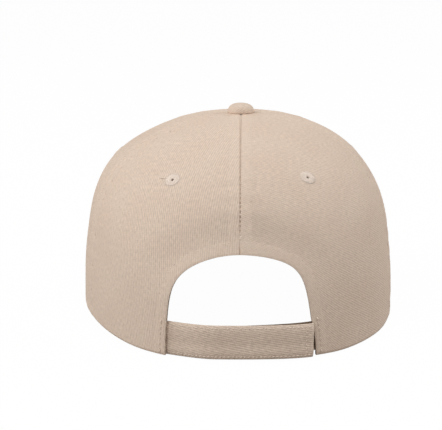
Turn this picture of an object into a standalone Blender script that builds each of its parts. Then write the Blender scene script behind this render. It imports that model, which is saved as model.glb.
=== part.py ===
"""Six-panel baseball cap with a hook-and-loop back strap, in metres, +Z up.

The origin lies on the table, straight under the top button. The visor points along +Y, and
the back arch with its strap faces -Y, so +X is the wearer's right.
"""

import math

import bmesh
import bpy
from mathutils import Matrix, Vector

for old in list(bpy.data.objects):
    bpy.data.objects.remove(old)

# Crown
CROWN_HALF_WIDTH = 0.094
CROWN_BACK_LENGTH = 0.099
CROWN_FRONT_LENGTH = 0.101
CROWN_HEIGHT = 0.1208
CROWN_SIDE_POWER = 2.45
CROWN_TOP_POWER = 3.07
ROW_SPACING_POWER = 1.5
PANEL_THICKNESS = 0.0008
GAP = 0.0003
SEAM_ALLOWANCE_GAP = 0.0005
BACK_SEAM_AZIMUTH = math.radians(74)
FRONT_SEAM_AZIMUTH = math.radians(124)
APEX_HOLE_RADIUS = 0.0026

# Rim: flat on the table at the back, raised at the sides and arched over the visor
RIM_FLAT_AZIMUTH = math.radians(20)
TEMPLE_AZIMUTH = math.radians(112)
RIM_SIDE_RISE = 0.009
RIM_FRONT_RISE = 0.022

# Back arch
ARCH_WIDTH = 0.0815
ARCH_HEIGHT = 0.0589
ARCH_TOP_RADIUS = 0.070
ARCH_POWER = 7.9
ARCH_LEAN = 0.11
ARCH_LEAN_HEIGHT = 0.0623
FACING_WIDTH = 0.0105
FACING_THICKNESS = 0.0005

# Lining pieces
TAPE_WIDTH = 0.012
TAPE_THICKNESS = 0.0005
TAPE_TAPER_ANGLE = math.radians(25)
TAPE_END_RADIUS = 0.0065
BUCKRAM_THICKNESS = 0.0006
BUCKRAM_BOTTOM = 0.002
BUCKRAM_TOP = 0.012
SWEATBAND_WIDTH = 0.033
SWEATBAND_THICKNESS = 0.0012

# Visor
VISOR_AZIMUTH = math.radians(116)
VISOR_DEPTH = 0.070
VISOR_END_DEPTH = 0.006
VISOR_OUTLINE_POWER = 2.6
VISOR_TIP_POWER = 0.7
VISOR_SPREAD = math.radians(27)
VISOR_SLOPE = 0.05
VISOR_DROOP = 0.155
VISOR_TUCK = 0.0019
BOARD_THICKNESS = 0.0020
BOARD_END_TRIM = 0.006
COVER_THICKNESS = 0.0007
COVER_WRAP = math.radians(80)
COVER_FLAT_SHARE = 0.625

# Top button
BUTTON_RADIUS = 0.0077
BUTTON_HEIGHT = 0.0056
BUTTON_SIDE_POWER = 0.8
BUTTON_TOP_POWER = 0.7
BUTTON_COVER_THICKNESS = 0.0006
BUTTON_SHELL_THICKNESS = 0.0006
POST_RADIUS = 0.0018
POST_PLATE_RADIUS = 0.0055
POST_PLATE_THICKNESS = 0.0008

# Eyelets
EYELET_RADIUS = 0.0043
EYELET_HOLE_RADIUS = 0.0014
EYELET_NECK_THICKNESS = 0.0005
EYELET_FLANGE_THICKNESS = 0.0008
EYELET_BACK_RADIUS = 0.0031
EYELET_GAP = 0.0004
EYELET_HEIGHT = 0.0948
EYELET_BACK_AZIMUTH = math.radians(30.5)

# Strap closure
STRAP_WIDTH = 0.0193
STRAP_THICKNESS = 0.0012
STRAP_ROOT_LENGTH = 0.010
STRAP_END_GAP = 0.0010
STRAP_RAMP = 0.030
STRAP_FLATTEN = 0.005
STRAP_FLATTEN_POWER = 1.5
LOOP_STRAP_LENGTH = 0.046
LOOP_STRAP_LIFT = 0.0004
CLOSURE_TAPE_THICKNESS = 0.0008
CLOSURE_TAPE_LENGTH = 0.038
CLOSURE_TAPE_MARGIN = 0.0020
HINGE_SETBACK = 0.0012
HINGE_DEPTH = 0.0011

# Facets
PANEL_COLUMNS = 11
PANEL_ROWS = 18
TURN_STEPS = 18
DOME_POINTS = 7
BUCKRAM_COLUMNS = 6
BUCKRAM_ROWS = 10
TAPE_COLUMNS = 2
FACING_COLUMNS = 32
FACING_ROWS = 1
SWEATBAND_COLUMNS = 44
SWEATBAND_ROWS = 2
VISOR_COLUMNS = 22
BOARD_ROWS = 4
COVER_ROWS = 8
ROOT_COLUMNS = 3
HOOK_STRAP_COLUMNS = 24
LOOP_STRAP_COLUMNS = 14
CLOSURE_TAPE_COLUMNS = 12
SHARP_ANGLE = math.radians(40)

ZERO = Vector((0, 0, 0))
SIDES = (("left", -1), ("right", 1))


def collection(name):
    made = bpy.data.collections.new(name)
    bpy.context.scene.collection.children.link(made)
    return made


PARTS = collection("baseball_cap")
CUTTERS = collection("cutters")


def srgb(red, green, blue):
    """Linear colour of an sRGB one given from 0 to 255."""
    linear = []
    for value in (red, green, blue):
        share = value / 255
        linear.append(share / 12.92 if share <= 0.04045 else ((share + 0.055) / 1.055) ** 2.4)
    return (*linear, 1.0)


def material(name, colour, roughness, metallic=0.0):
    made = bpy.data.materials.new(name)
    made.use_nodes = True
    shader = made.node_tree.nodes["Principled BSDF"]
    shader.inputs["Base Color"].default_value = colour
    shader.inputs["Roughness"].default_value = roughness
    shader.inputs["Metallic"].default_value = metallic
    return made


# Shape of the crown


def smooth(share):
    """Share from 0 to 1 that starts and ends gently."""
    share = min(max(share, 0.0), 1.0)
    return share * share * (3 - 2 * share)


def rim_height(azimuth):
    """Height of the rim above the table; azimuth 0 is the back centre, and pi the front."""
    turn = math.acos(max(-1.0, min(1.0, math.cos(azimuth))))
    if turn <= RIM_FLAT_AZIMUTH:
        return 0.0
    if turn <= TEMPLE_AZIMUTH:
        share = (turn - RIM_FLAT_AZIMUTH) / (TEMPLE_AZIMUTH - RIM_FLAT_AZIMUTH)
        return RIM_SIDE_RISE * (1 - math.cos(math.pi * share)) / 2
    share = (turn - TEMPLE_AZIMUTH) / (math.pi - TEMPLE_AZIMUTH)
    return RIM_SIDE_RISE + (RIM_FRONT_RISE - RIM_SIDE_RISE) * (1 - math.cos(math.pi * share)) / 2


def crown_shares(rise):
    """Radius and height, as shares of the rim's and the crown's, at rise 0 (rim) to 1 (top)."""
    tilt = math.pi / 2 * rise**ROW_SPACING_POWER
    radius = max(math.cos(tilt), 0.0) ** (2 / CROWN_SIDE_POWER)
    height = math.sin(tilt) ** (2 / CROWN_TOP_POWER)
    return radius, height


def rise_of_tilt(tilt):
    return (tilt / (math.pi / 2)) ** (1 / ROW_SPACING_POWER)


def rise_at_height(height):
    """Rise of the crown's wall at a height above a rim that lies on the table."""
    return rise_of_tilt(math.asin((height / CROWN_HEIGHT) ** (CROWN_TOP_POWER / 2)))


def rise_at_radius(radius):
    return rise_of_tilt(math.acos((radius / CROWN_HALF_WIDTH) ** (CROWN_SIDE_POWER / 2)))


def crown_surface(azimuth, rise):
    radius, height = crown_shares(rise)
    length = CROWN_BACK_LENGTH if math.cos(azimuth) > 0 else CROWN_FRONT_LENGTH
    base = rim_height(azimuth)
    return Vector(
        (
            CROWN_HALF_WIDTH * math.sin(azimuth) * radius,
            -length * math.cos(azimuth) * radius,
            base + (CROWN_HEIGHT - base) * height,
        )
    )


def crown_normal(azimuth, rise):
    step = 1e-4
    around = crown_surface(azimuth + step, rise) - crown_surface(azimuth - step, rise)
    low = crown_surface(azimuth, max(rise - step, 0.0))
    high = crown_surface(azimuth, min(rise + step, 1.0))
    return around.cross(high - low).normalized()


def crown_point(azimuth, rise, depth=0.0):
    """Point that lies the given depth inside the crown's outer surface."""
    return crown_surface(azimuth, rise) - crown_normal(azimuth, rise) * depth


def gap_angle(rise, width):
    """Azimuth that spans a width along the crown at this rise."""
    return width / (CROWN_HALF_WIDTH * crown_shares(rise)[0])


TOP_RISE = rise_at_radius(APEX_HOLE_RADIUS)
ARCH_AZIMUTH = math.asin(ARCH_WIDTH / 2 / CROWN_HALF_WIDTH)
EYELET_RISE = rise_at_height(EYELET_HEIGHT)
LINING_DEPTH = PANEL_THICKNESS + SEAM_ALLOWANCE_GAP


# Building blocks


def finish_part(part, paint):
    part.data.materials.append(paint)
    part.data.shade_smooth()
    part.data.set_sharp_from_angle(angle=SHARP_ANGLE)
    PARTS.objects.link(part)
    return part


def sheet(name, point, columns, rows, thickness, paint, origin=ZERO):
    """Grid laid over point(u, v), each from 0 to 1, and thickened behind its face."""
    net = bmesh.new()
    bmesh.ops.create_grid(net, x_segments=columns, y_segments=rows, size=0.5)
    for vertex in net.verts:
        vertex.co = point(vertex.co.x + 0.5, vertex.co.y + 0.5) - origin
    mesh = bpy.data.meshes.new(name)
    net.to_mesh(mesh)
    net.free()
    part = bpy.data.objects.new(name, mesh)
    part.location = origin
    shell = part.modifiers.new("Thickness", "SOLIDIFY")
    shell.thickness = thickness
    shell.offset = -1
    return finish_part(part, paint)


def on_side(point, side):
    """The right-hand piece's point function, or its mirror image on the left."""
    if side > 0:
        return point

    def mirrored(u, v):
        x, y, z = point(1 - u, v)
        return Vector((-x, y, z))

    return mirrored


def turned(name, profile, paint, closed, place=Matrix.Identity(4)):
    """Profile of (radius, height) points, from the top down its outer side, turned about Z."""
    count = len(profile)
    edges = [(i, (i + 1) % count) for i in range(count if closed else count - 1)]
    mesh = bpy.data.meshes.new(name)
    mesh.from_pydata([(radius, 0.0, height) for radius, height in profile], edges, [])
    part = bpy.data.objects.new(name, mesh)
    part.matrix_world = place
    spin = part.modifiers.new("Turn", "SCREW")
    spin.steps = TURN_STEPS
    spin.render_steps = TURN_STEPS
    spin.use_merge_vertices = True
    spin.merge_threshold = 1e-5
    return finish_part(part, paint)


def drill(part, name, radius, place):
    """Round hole through a shell, along the Z axis of place."""
    net = bmesh.new()
    bmesh.ops.create_cone(
        net, cap_ends=True, segments=TURN_STEPS, radius1=radius, radius2=radius, depth=radius * 4
    )
    mesh = bpy.data.meshes.new(name)
    net.to_mesh(mesh)
    net.free()
    cutter = bpy.data.objects.new(name, mesh)
    cutter.matrix_world = place
    cutter.hide_render = True
    cutter.display_type = "WIRE"
    CUTTERS.objects.link(cutter)
    hole = part.modifiers.new("Hole", "BOOLEAN")
    hole.operation = "DIFFERENCE"
    hole.object = cutter


# Crown panels


def panel_point(start, end):
    """Panel between two seam azimuths, held half a gap off each seam."""

    def point(u, v):
        rise = TOP_RISE * v
        inset = gap_angle(rise, GAP / 2)
        return crown_point(start + inset + u * (end - start - 2 * inset), rise)

    return point


def on_disc(azimuth, rise):
    """Flat chart of the crown, with its top at the centre and its rim on a unit circle."""
    return Vector((math.sin(azimuth), -math.cos(azimuth))) * (1 - rise)


def arch_chart(share):
    """Edge of the right half of the arch, from its top at share 0 to the rim at share 1."""
    turn = math.pi / 2 * share
    aside, upward = math.sin(turn), max(math.cos(turn), 0.0)
    reach = (aside**ARCH_POWER + upward**ARCH_POWER) ** (-1 / ARCH_POWER)
    crest = ARCH_HEIGHT - (ARCH_WIDTH / 2 * reach * aside) ** 2 / (2 * ARCH_TOP_RADIUS)
    height = crest * reach * upward
    lean = ARCH_LEAN * smooth(height / ARCH_LEAN_HEIGHT)
    return on_disc(ARCH_AZIMUTH * reach * aside * (1 - lean), rise_at_height(height))


def back_chart(along, across):
    """Patch between the arch's edge (across 0) and the side seam (across 1).

    It is bounded by the centre seam where along is 0 and by the rim where along is 1.
    """
    top_rise = rise_at_height(ARCH_HEIGHT)
    edge = arch_chart(along)
    seam = on_disc(BACK_SEAM_AZIMUTH, 1 - along)
    centre = on_disc(0.0, top_rise + across * (1 - top_rise))
    rim = on_disc(ARCH_AZIMUTH + across * (BACK_SEAM_AZIMUTH - ARCH_AZIMUTH), 0.0)
    corners = (
        (1 - along) * (1 - across) * on_disc(0.0, top_rise)
        + along * (1 - across) * on_disc(ARCH_AZIMUTH, 0.0)
        + along * across * on_disc(BACK_SEAM_AZIMUTH, 0.0)
    )
    return (1 - across) * edge + across * seam + (1 - along) * centre + along * rim - corners


def back_place(along, across, inset):
    """Azimuth and rise of a point of the back patch, kept off its two seams by inset."""
    chart = back_chart(along, across)
    rise = min(max(1 - chart.length, 0.0), TOP_RISE)
    angle = gap_angle(rise, inset)
    azimuth = BACK_SEAM_AZIMUTH / 2
    if chart.length > 1e-9:
        azimuth = math.atan2(chart.x, -chart.y)
    return min(max(azimuth, angle), BACK_SEAM_AZIMUTH - angle), rise


def back_panel_point(u, v):
    """Point of the right back panel: u runs off the arch's edge, v up from the rim."""
    return crown_point(*back_place(1 - v, u, GAP / 2))


def facing_point(u, v):
    """Strip along the whole arch inside the panels, from the left foot to the right foot."""
    along = abs(2 * u - 1)
    edge = crown_point(*back_place(along, 0.0, 0.0))
    probe = 0.1
    reach = (crown_point(*back_place(along, probe, 0.0)) - edge).length / probe
    azimuth, rise = back_place(along, v * FACING_WIDTH / reach, 0.0)
    return crown_point(math.copysign(azimuth, u - 0.5), rise, LINING_DEPTH)


def eyelet_place(azimuth):
    """Frame on the crown's surface with Z pointing outwards."""
    normal = crown_normal(azimuth, EYELET_RISE)
    turn = normal.to_track_quat("Z", "Y").to_matrix().to_4x4()
    return Matrix.Translation(crown_surface(azimuth, EYELET_RISE)) @ turn


def make_eyelet(name, azimuth, panel, paint):
    """Embroidered ring that grips the panel on both faces through its hole."""
    neck = EYELET_HOLE_RADIUS + EYELET_NECK_THICKNESS
    top = EYELET_GAP + EYELET_FLANGE_THICKNESS
    under = -PANEL_THICKNESS - EYELET_GAP
    low = under - EYELET_FLANGE_THICKNESS / 2
    crest = (EYELET_HOLE_RADIUS + EYELET_RADIUS) / 2
    profile = [
        (EYELET_HOLE_RADIUS, EYELET_GAP + EYELET_FLANGE_THICKNESS / 2),
        (crest, top),
        (EYELET_RADIUS, EYELET_GAP + EYELET_FLANGE_THICKNESS / 3),
        (EYELET_RADIUS, EYELET_GAP),
        (neck, EYELET_GAP),
        (neck, under),
        (EYELET_BACK_RADIUS, under),
        (EYELET_BACK_RADIUS, low),
        (EYELET_HOLE_RADIUS, low),
    ]
    place = eyelet_place(azimuth)
    turned(f"{name}_eyelet", profile, paint, True, place)
    drill(panel, f"{name}_eyelet_hole", neck + GAP, place)


def make_panels(twill, thread, stiffener):
    spans = {
        "side": (BACK_SEAM_AZIMUTH, FRONT_SEAM_AZIMUTH),
        "front": (FRONT_SEAM_AZIMUTH, math.pi),
    }
    for word, side in SIDES:
        name = f"back_{word}"
        shape = on_side(back_panel_point, side)
        panel = sheet(f"{name}_panel", shape, PANEL_COLUMNS, PANEL_ROWS, PANEL_THICKNESS, twill)
        make_eyelet(name, side * EYELET_BACK_AZIMUTH, panel, thread)
        for place, (start, end) in spans.items():
            name = f"{place}_{word}"
            shape = on_side(panel_point(start, end), side)
            panel = sheet(f"{name}_panel", shape, PANEL_COLUMNS, PANEL_ROWS, PANEL_THICKNESS, twill)
            make_eyelet(name, side * (start + end) / 2, panel, thread)
        make_buckram(word, side, stiffener)


# Lining pieces


def make_buckram(word, side, paint):
    """Stiffener behind a front panel, between the seam tapes."""
    bottom = rise_at_height(BUCKRAM_BOTTOM)
    top = rise_at_height(CROWN_HEIGHT - BUCKRAM_TOP)

    def point(u, v):
        rise = bottom + (top - bottom) * v
        inset = gap_angle(rise, TAPE_WIDTH / 2 + GAP)
        span = math.pi - FRONT_SEAM_AZIMUTH - 2 * inset
        return crown_point(FRONT_SEAM_AZIMUTH + inset + u * span, rise, LINING_DEPTH)

    shape = on_side(point, side)
    layer = sheet(
        f"front_{word}_buckram", shape, BUCKRAM_COLUMNS, BUCKRAM_ROWS, BUCKRAM_THICKNESS, paint
    )
    place = eyelet_place(side * (FRONT_SEAM_AZIMUTH + math.pi) / 2)
    drill(layer, f"front_{word}_buckram_hole", EYELET_BACK_RADIUS + GAP, place)


def make_tape(name, azimuth, bottom_rise, paint):
    """Tape that covers a seam inside, narrowed where the seams run together at the top."""
    top = rise_at_radius(TAPE_END_RADIUS)

    def point(u, v):
        rise = bottom_rise + (top - bottom_rise) * v
        half = min(gap_angle(rise, TAPE_WIDTH / 2), TAPE_TAPER_ANGLE)
        return crown_point(azimuth + (2 * u - 1) * half, rise, LINING_DEPTH)

    sheet(f"{name}_seam_tape", point, TAPE_COLUMNS, PANEL_ROWS, TAPE_THICKNESS, paint)


def make_tapes(paint):
    make_tape("back_center", 0.0, rise_at_height(ARCH_HEIGHT + FACING_WIDTH + GAP), paint)
    make_tape("front_center", math.pi, 0.0, paint)
    for word, side in SIDES:
        make_tape(f"back_{word}", side * BACK_SEAM_AZIMUTH, 0.0, paint)
        make_tape(f"front_{word}", side * FRONT_SEAM_AZIMUTH, 0.0, paint)


def make_facing(paint):
    sheet("arch_facing", facing_point, FACING_COLUMNS, FACING_ROWS, FACING_THICKNESS, paint)


def make_sweatband(paint):
    """Band inside the rim, from one strap root round the front to the other."""
    depth = LINING_DEPTH + max(BUCKRAM_THICKNESS, TAPE_THICKNESS) + GAP
    start = ARCH_AZIMUTH + (STRAP_ROOT_LENGTH + 2 * GAP) / CROWN_BACK_LENGTH
    top = rise_at_height(SWEATBAND_WIDTH)

    def point(u, v):
        return crown_point(start + u * (2 * math.pi - 2 * start), top * v, depth)

    sheet("sweatband", point, SWEATBAND_COLUMNS, SWEATBAND_ROWS, SWEATBAND_THICKNESS, paint)


# Visor


def visor_across(u):
    """Place across the visor, from 1 at the right temple to -1 at the left."""
    return math.sin(math.pi / 2 * (1 - 2 * u))


def visor_surface(across, v):
    """Middle of the visor's thickness; v runs out from the rim to the edge."""
    azimuth = math.pi - across * (math.pi - VISOR_AZIMUTH)
    root = crown_point(azimuth, 0.0, VISOR_TUCK)
    root.z = rim_height(azimuth) - GAP * 2 - COVER_THICKNESS - BOARD_THICKNESS / 2
    outline = max(1 - abs(across) ** VISOR_OUTLINE_POWER, 0.0) ** VISOR_TIP_POWER
    reach = (VISOR_END_DEPTH + (VISOR_DEPTH - VISOR_END_DEPTH) * outline) * v
    drop = reach * (VISOR_SLOPE + VISOR_DROOP * across**2)
    heading = VISOR_SPREAD * across
    return root + Vector((reach * math.sin(heading), reach * math.cos(heading), -drop))


def visor_frame(across, v):
    """Upward normal of the visor, and the direction square out of its edge line."""
    step = 1e-4
    right = visor_surface(min(across + step, 1.0), v)
    left = visor_surface(max(across - step, -1.0), v)
    outward = visor_surface(across, 1.0) - visor_surface(across, 0.0)
    normal = (right - left).cross(outward).normalized()
    return normal, normal.cross(right - left).normalized()


def cover_point(face):
    """Cover on the upper (face 1) or lower (face -1) side, folded round the board's edge."""
    height = BOARD_THICKNESS / 2 + GAP + COVER_THICKNESS

    def point(u, v):
        across = visor_across(u) * -face
        spread = min(v / COVER_FLAT_SHARE, 1.0)
        fold = COVER_WRAP * max(v - COVER_FLAT_SHARE, 0.0) / (1 - COVER_FLAT_SHARE)
        normal, outward = visor_frame(across, spread)
        offset = normal * (face * math.cos(fold)) + outward * math.sin(fold)
        return visor_surface(across, spread) + offset * height

    return point


def make_visor(twill, plastic):
    half_length = (math.pi - VISOR_AZIMUTH) * CROWN_FRONT_LENGTH

    def board_point(u, v):
        across = -visor_across(u) * (1 - BOARD_END_TRIM / half_length)
        normal, _ = visor_frame(across, v)
        return visor_surface(across, v) + normal * BOARD_THICKNESS / 2

    sheet("visor_board", board_point, VISOR_COLUMNS, BOARD_ROWS, BOARD_THICKNESS, plastic)
    for name, face in (("visor_top_cover", 1), ("visor_under_cover", -1)):
        sheet(name, cover_point(face), VISOR_COLUMNS, COVER_ROWS, COVER_THICKNESS, twill)


# Top button


def dome(radius, height, base):
    """Profile of a domed button, from its top down to its base."""
    profile = []
    for i in range(DOME_POINTS):
        turn = math.pi / 2 * i / (DOME_POINTS - 1)
        reach = radius * math.sin(turn) ** BUTTON_SIDE_POWER
        profile.append((reach, base + height * max(math.cos(turn), 0.0) ** BUTTON_TOP_POWER))
    return profile


def make_button(twill, metal):
    base = CROWN_HEIGHT + GAP
    shell_radius = BUTTON_RADIUS - BUTTON_COVER_THICKNESS - GAP
    shell_height = BUTTON_HEIGHT - BUTTON_COVER_THICKNESS - GAP
    inner_radius = BUTTON_RADIUS - BUTTON_COVER_THICKNESS
    inner_height = BUTTON_HEIGHT - BUTTON_COVER_THICKNESS
    outside = dome(BUTTON_RADIUS, BUTTON_HEIGHT, base)
    inside = dome(inner_radius, inner_height, base)
    turned("button_cover", outside + inside[::-1], twill, False)
    outside = dome(shell_radius, shell_height, base)
    hollow_radius = shell_radius - BUTTON_SHELL_THICKNESS
    hollow_height = shell_height - BUTTON_SHELL_THICKNESS
    inside = dome(hollow_radius, hollow_height, base)
    turned("button_shell", outside + inside[::-1], metal, False)
    plate_top = CROWN_HEIGHT - LINING_DEPTH
    post = [
        (0.0, base + hollow_height - GAP),
        (POST_RADIUS, base + hollow_height - GAP),
        (POST_RADIUS, plate_top),
        (POST_PLATE_RADIUS, plate_top),
        (POST_PLATE_RADIUS, plate_top - POST_PLATE_THICKNESS),
        (0.0, plate_top - POST_PLATE_THICKNESS),
    ]
    turned("button_post", post, metal, False)


# Strap closure

ROOT_DEPTH = LINING_DEPTH + FACING_THICKNESS + GAP
CLOSURE_STACK = STRAP_THICKNESS + 2 * CLOSURE_TAPE_THICKNESS + 3 * GAP


def back_arc(azimuth, height, depth):
    """Point on an upright wall that follows the back of the rim, drawn flatter over the arch."""
    x = CROWN_HALF_WIDTH * math.sin(azimuth)
    y = -CROWN_BACK_LENGTH * math.cos(azimuth)
    outward = Vector((x / CROWN_HALF_WIDTH**2, y / CROWN_BACK_LENGTH**2, 0)).normalized()
    room = max(1 - (azimuth / ARCH_AZIMUTH) ** 2, 0.0)
    return Vector((x, y, height)) - outward * (depth + STRAP_FLATTEN * room**STRAP_FLATTEN_POWER)


def arc_angle(length):
    return length / CROWN_BACK_LENGTH


def hook_depth(azimuth):
    """Depth of the outer strap, which climbs from under the left panel over the inner strap."""
    return ROOT_DEPTH - CLOSURE_STACK * smooth((azimuth + ARCH_AZIMUTH) / arc_angle(STRAP_RAMP))


def strip(name, start, end, low, high, depth, thickness, paint, columns, origin=ZERO):
    """Upright strip along the back arc, with its outer face at depth(azimuth)."""

    def point(u, v):
        azimuth = start + u * (end - start)
        return back_arc(azimuth, low + v * (high - low), depth(azimuth))

    sheet(name, point, columns, 1, thickness, paint, origin)


def hook_hinge():
    return back_arc(arc_angle(HINGE_SETBACK) - ARCH_AZIMUTH, 0.0, ROOT_DEPTH - HINGE_DEPTH)


def loop_hinge():
    depth = ROOT_DEPTH + STRAP_THICKNESS + HINGE_DEPTH
    return back_arc(ARCH_AZIMUTH - arc_angle(HINGE_SETBACK), 0.0, depth)


def make_straps(twill, hooks, loops):
    half_gap = arc_angle(GAP / 2)
    root_span = arc_angle(STRAP_ROOT_LENGTH)
    margin = CLOSURE_TAPE_MARGIN

    def root_depth(_):
        return ROOT_DEPTH

    def loop_tape_depth(_):
        return ROOT_DEPTH - GAP - CLOSURE_TAPE_THICKNESS

    def hook_tape_depth(azimuth):
        return hook_depth(azimuth) + STRAP_THICKNESS + GAP

    edge = ARCH_AZIMUTH + half_gap
    for name, start in (("hook", -edge - root_span), ("loop", edge)):
        low = LOOP_STRAP_LIFT if name == "loop" else 0.0
        strip(
            f"{name}_strap_root", start, start + root_span, low, low + STRAP_WIDTH,
            root_depth, STRAP_THICKNESS, twill, ROOT_COLUMNS,
        )
    start = half_gap - ARCH_AZIMUTH
    end = ARCH_AZIMUTH - arc_angle(STRAP_END_GAP)
    tape_span = arc_angle(CLOSURE_TAPE_LENGTH)
    tape_end = end - arc_angle(margin)
    hinge = hook_hinge()
    strip(
        "hook_strap", start, end, 0.0, STRAP_WIDTH,
        hook_depth, STRAP_THICKNESS, twill, HOOK_STRAP_COLUMNS, hinge,
    )
    strip(
        "hook_tape", tape_end - tape_span, tape_end, margin, STRAP_WIDTH - margin,
        hook_tape_depth, CLOSURE_TAPE_THICKNESS, hooks, CLOSURE_TAPE_COLUMNS, hinge,
    )
    end = ARCH_AZIMUTH - half_gap
    start = end - arc_angle(LOOP_STRAP_LENGTH)
    tape_start = start + arc_angle(margin)
    hinge = loop_hinge()
    low = LOOP_STRAP_LIFT
    strip(
        "loop_strap", start, end, low, low + STRAP_WIDTH,
        root_depth, STRAP_THICKNESS, twill, LOOP_STRAP_COLUMNS, hinge,
    )
    strip(
        "loop_tape", tape_start, tape_start + tape_span, low + margin, low + STRAP_WIDTH - margin,
        loop_tape_depth, CLOSURE_TAPE_THICKNESS, loops, CLOSURE_TAPE_COLUMNS, hinge,
    )


twill = material("khaki_twill", srgb(217, 198, 181), 0.9)
thread = material("eyelet_thread", srgb(232, 214, 198), 0.8)
lining = material("seam_tape", srgb(226, 212, 196), 0.9)
stiffener = material("buckram", srgb(238, 234, 226), 0.95)
band = material("sweatband_twill", srgb(214, 195, 178), 0.9)
plastic = material("visor_board", srgb(235, 235, 230), 0.5)
metal = material("button_metal", srgb(190, 190, 188), 0.35, 1.0)
hooks = material("hook_tape", srgb(196, 177, 158), 0.6)
loops = material("loop_tape", srgb(204, 186, 168), 0.95)

make_panels(twill, thread, stiffener)
make_tapes(lining)
make_facing(lining)
make_sweatband(band)
make_visor(twill, plastic)
make_button(twill, metal)
make_straps(twill, hooks, loops)
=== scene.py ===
"""Looks of a khaki six-panel baseball cap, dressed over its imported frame.

Metres, +Z up. The visor points along +Y, and the back arch with its strap faces -Y. Azimuth 0 is
the back centre, and it grows towards +X.
"""

import math

import bpy
import numpy as np
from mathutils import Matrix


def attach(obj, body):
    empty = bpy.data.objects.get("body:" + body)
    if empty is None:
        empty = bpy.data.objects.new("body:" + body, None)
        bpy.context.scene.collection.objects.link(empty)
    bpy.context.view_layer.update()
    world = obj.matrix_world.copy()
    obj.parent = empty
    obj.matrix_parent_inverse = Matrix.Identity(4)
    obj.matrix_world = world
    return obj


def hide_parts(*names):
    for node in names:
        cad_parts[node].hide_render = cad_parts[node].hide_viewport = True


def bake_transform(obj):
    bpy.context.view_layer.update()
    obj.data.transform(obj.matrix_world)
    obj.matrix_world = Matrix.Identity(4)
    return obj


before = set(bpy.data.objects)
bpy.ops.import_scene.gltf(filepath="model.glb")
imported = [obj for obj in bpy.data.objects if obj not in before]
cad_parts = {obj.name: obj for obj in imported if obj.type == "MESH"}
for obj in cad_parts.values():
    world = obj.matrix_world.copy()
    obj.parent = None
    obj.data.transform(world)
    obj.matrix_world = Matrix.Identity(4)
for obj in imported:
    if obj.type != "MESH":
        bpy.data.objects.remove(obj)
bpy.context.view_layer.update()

# Crown, as in the solids
CROWN_HALF_WIDTH = 0.094
CROWN_BACK_LENGTH = 0.099
CROWN_FRONT_LENGTH = 0.101
CROWN_HEIGHT = 0.1208
CROWN_SIDE_POWER = 2.45
CROWN_TOP_POWER = 3.07
ROW_SPACING_POWER = 1.5
PANEL_THICKNESS = 0.0008
GAP = 0.0003
LINING_DEPTH = 0.0013
BACK_SEAM_AZIMUTH = {-1: math.radians(70), 1: math.radians(80)}
FRONT_SEAM_AZIMUTH = math.radians(124)
APEX_HOLE_RADIUS = 0.0026
RIM_FLAT_AZIMUTH = math.radians(20)
TEMPLE_AZIMUTH = math.radians(112)
RIM_SIDE_RISE = 0.009
RIM_FRONT_RISE = 0.022

# Slack of the cloth, which makes the two sides of the crown unlike; turns are in degrees
RIGHT_RIM_DROP = 0.0048
RIGHT_RIM_TURN = 78
RIGHT_RIM_SPREAD = (26, 20)
LEFT_RIM_LIFT = 0.0017
LEFT_RIM_TURN = -65
LEFT_RIM_SPREAD = 28
RIGHT_FOOT_LIFT = 0.0013
LEFT_FOOT_LIFT = 0.0007
FOOT_TURN = 25
FOOT_SPREAD = 9
TOP_SETTLE = 0.0011
TOP_SETTLE_RADIUS = 0.62
TOP_SETTLE_SPREAD = 0.22
SLACK_HEIGHTS = (0.0, 0.18, 0.40, 0.62, 0.80, 0.92, 1.0)
LEFT_SLACK = (0.0015, 0.0008, 0.0005, 0.0024, 0.0038, 0.0017, 0.0)
RIGHT_SLACK = (-0.0018, -0.0020, -0.0025, -0.0013, -0.0015, 0.0014, 0.0)
SLACK_BLEND = 0.08
SLACK_SPREAD = 45
RIPPLE = 0.0002
RIPPLE_WAVES = ((3, 11), (2, 5))

# Back arch
ARCH_WIDTH = 0.0815
ARCH_HEIGHT = 0.0595
ARCH_TOP_RADIUS = {-1: 0.0587, 1: 0.088}
ARCH_POWER = 7.8
ARCH_LEAN = {-1: 0.085, 1: 0.142}
ARCH_LEAN_HEIGHT = 0.0623
ARCH_FLARE = {-1: 0.0, 1: 0.034}
ARCH_FLARE_HEIGHT = 0.022
ARCH_AZIMUTH = math.asin(ARCH_WIDTH / 2 / CROWN_HALF_WIDTH)
ARCH_FOOT = {side: ARCH_AZIMUTH * (1 + flare) for side, flare in ARCH_FLARE.items()}
FACING_WIDTH = 0.0105
FACING_INSET = 0.0002
FACING_THICKNESS = 0.0005

# Sewing
TOPSTITCH_OFFSET = 0.0060
HEM_OFFSET = 0.0066
ROOT_ROW_OFFSET = 0.0031
SEAM_ROW_START = 0.02
HEM_ROW_SPAN = (0.02, 0.62)
ROOT_ROW_SPAN = (0.74, 0.985)
ROW_SINK = 0.0001
STRAND_PITCH = 0.0004
MOTTLE_SIZE = 0.022
SPECK_SIZE = 0.003
TACK_LENGTH = 0.0016
TACK_STEPS = 8
TACK_RADIUS = 0.00042
STITCH_LENGTH = 0.0024
STITCH_GAP = 0.0006
THREAD_RADIUS = 0.00016
BAND_RISE = 0.00016
BAND_STEP = 0.0012
ROW_DENT = 0.00006
ROW_DENT_WIDTH = 0.0007
SEAM_DEPTH = 0.0009
SEAM_WIDTH = 0.00034
SEAM_STITCH = 0.0013
SEAM_THREAD_RADIUS = 0.00036
EDGE_ROLL = 0.0006
HEM_ROLL = 0.0002
EDGE_ROLL_WIDTH = 0.0008
HEM_VALLEY = 0.0012
HEM_VALLEY_OFFSET = 0.0100
HEM_VALLEY_WIDTH = 0.0110
# Painted highlight along the ridge beside each seam
SEAM_RIDGE_HIGHLIGHT = 0.6
BAND_WEAR = 0.3
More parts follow.
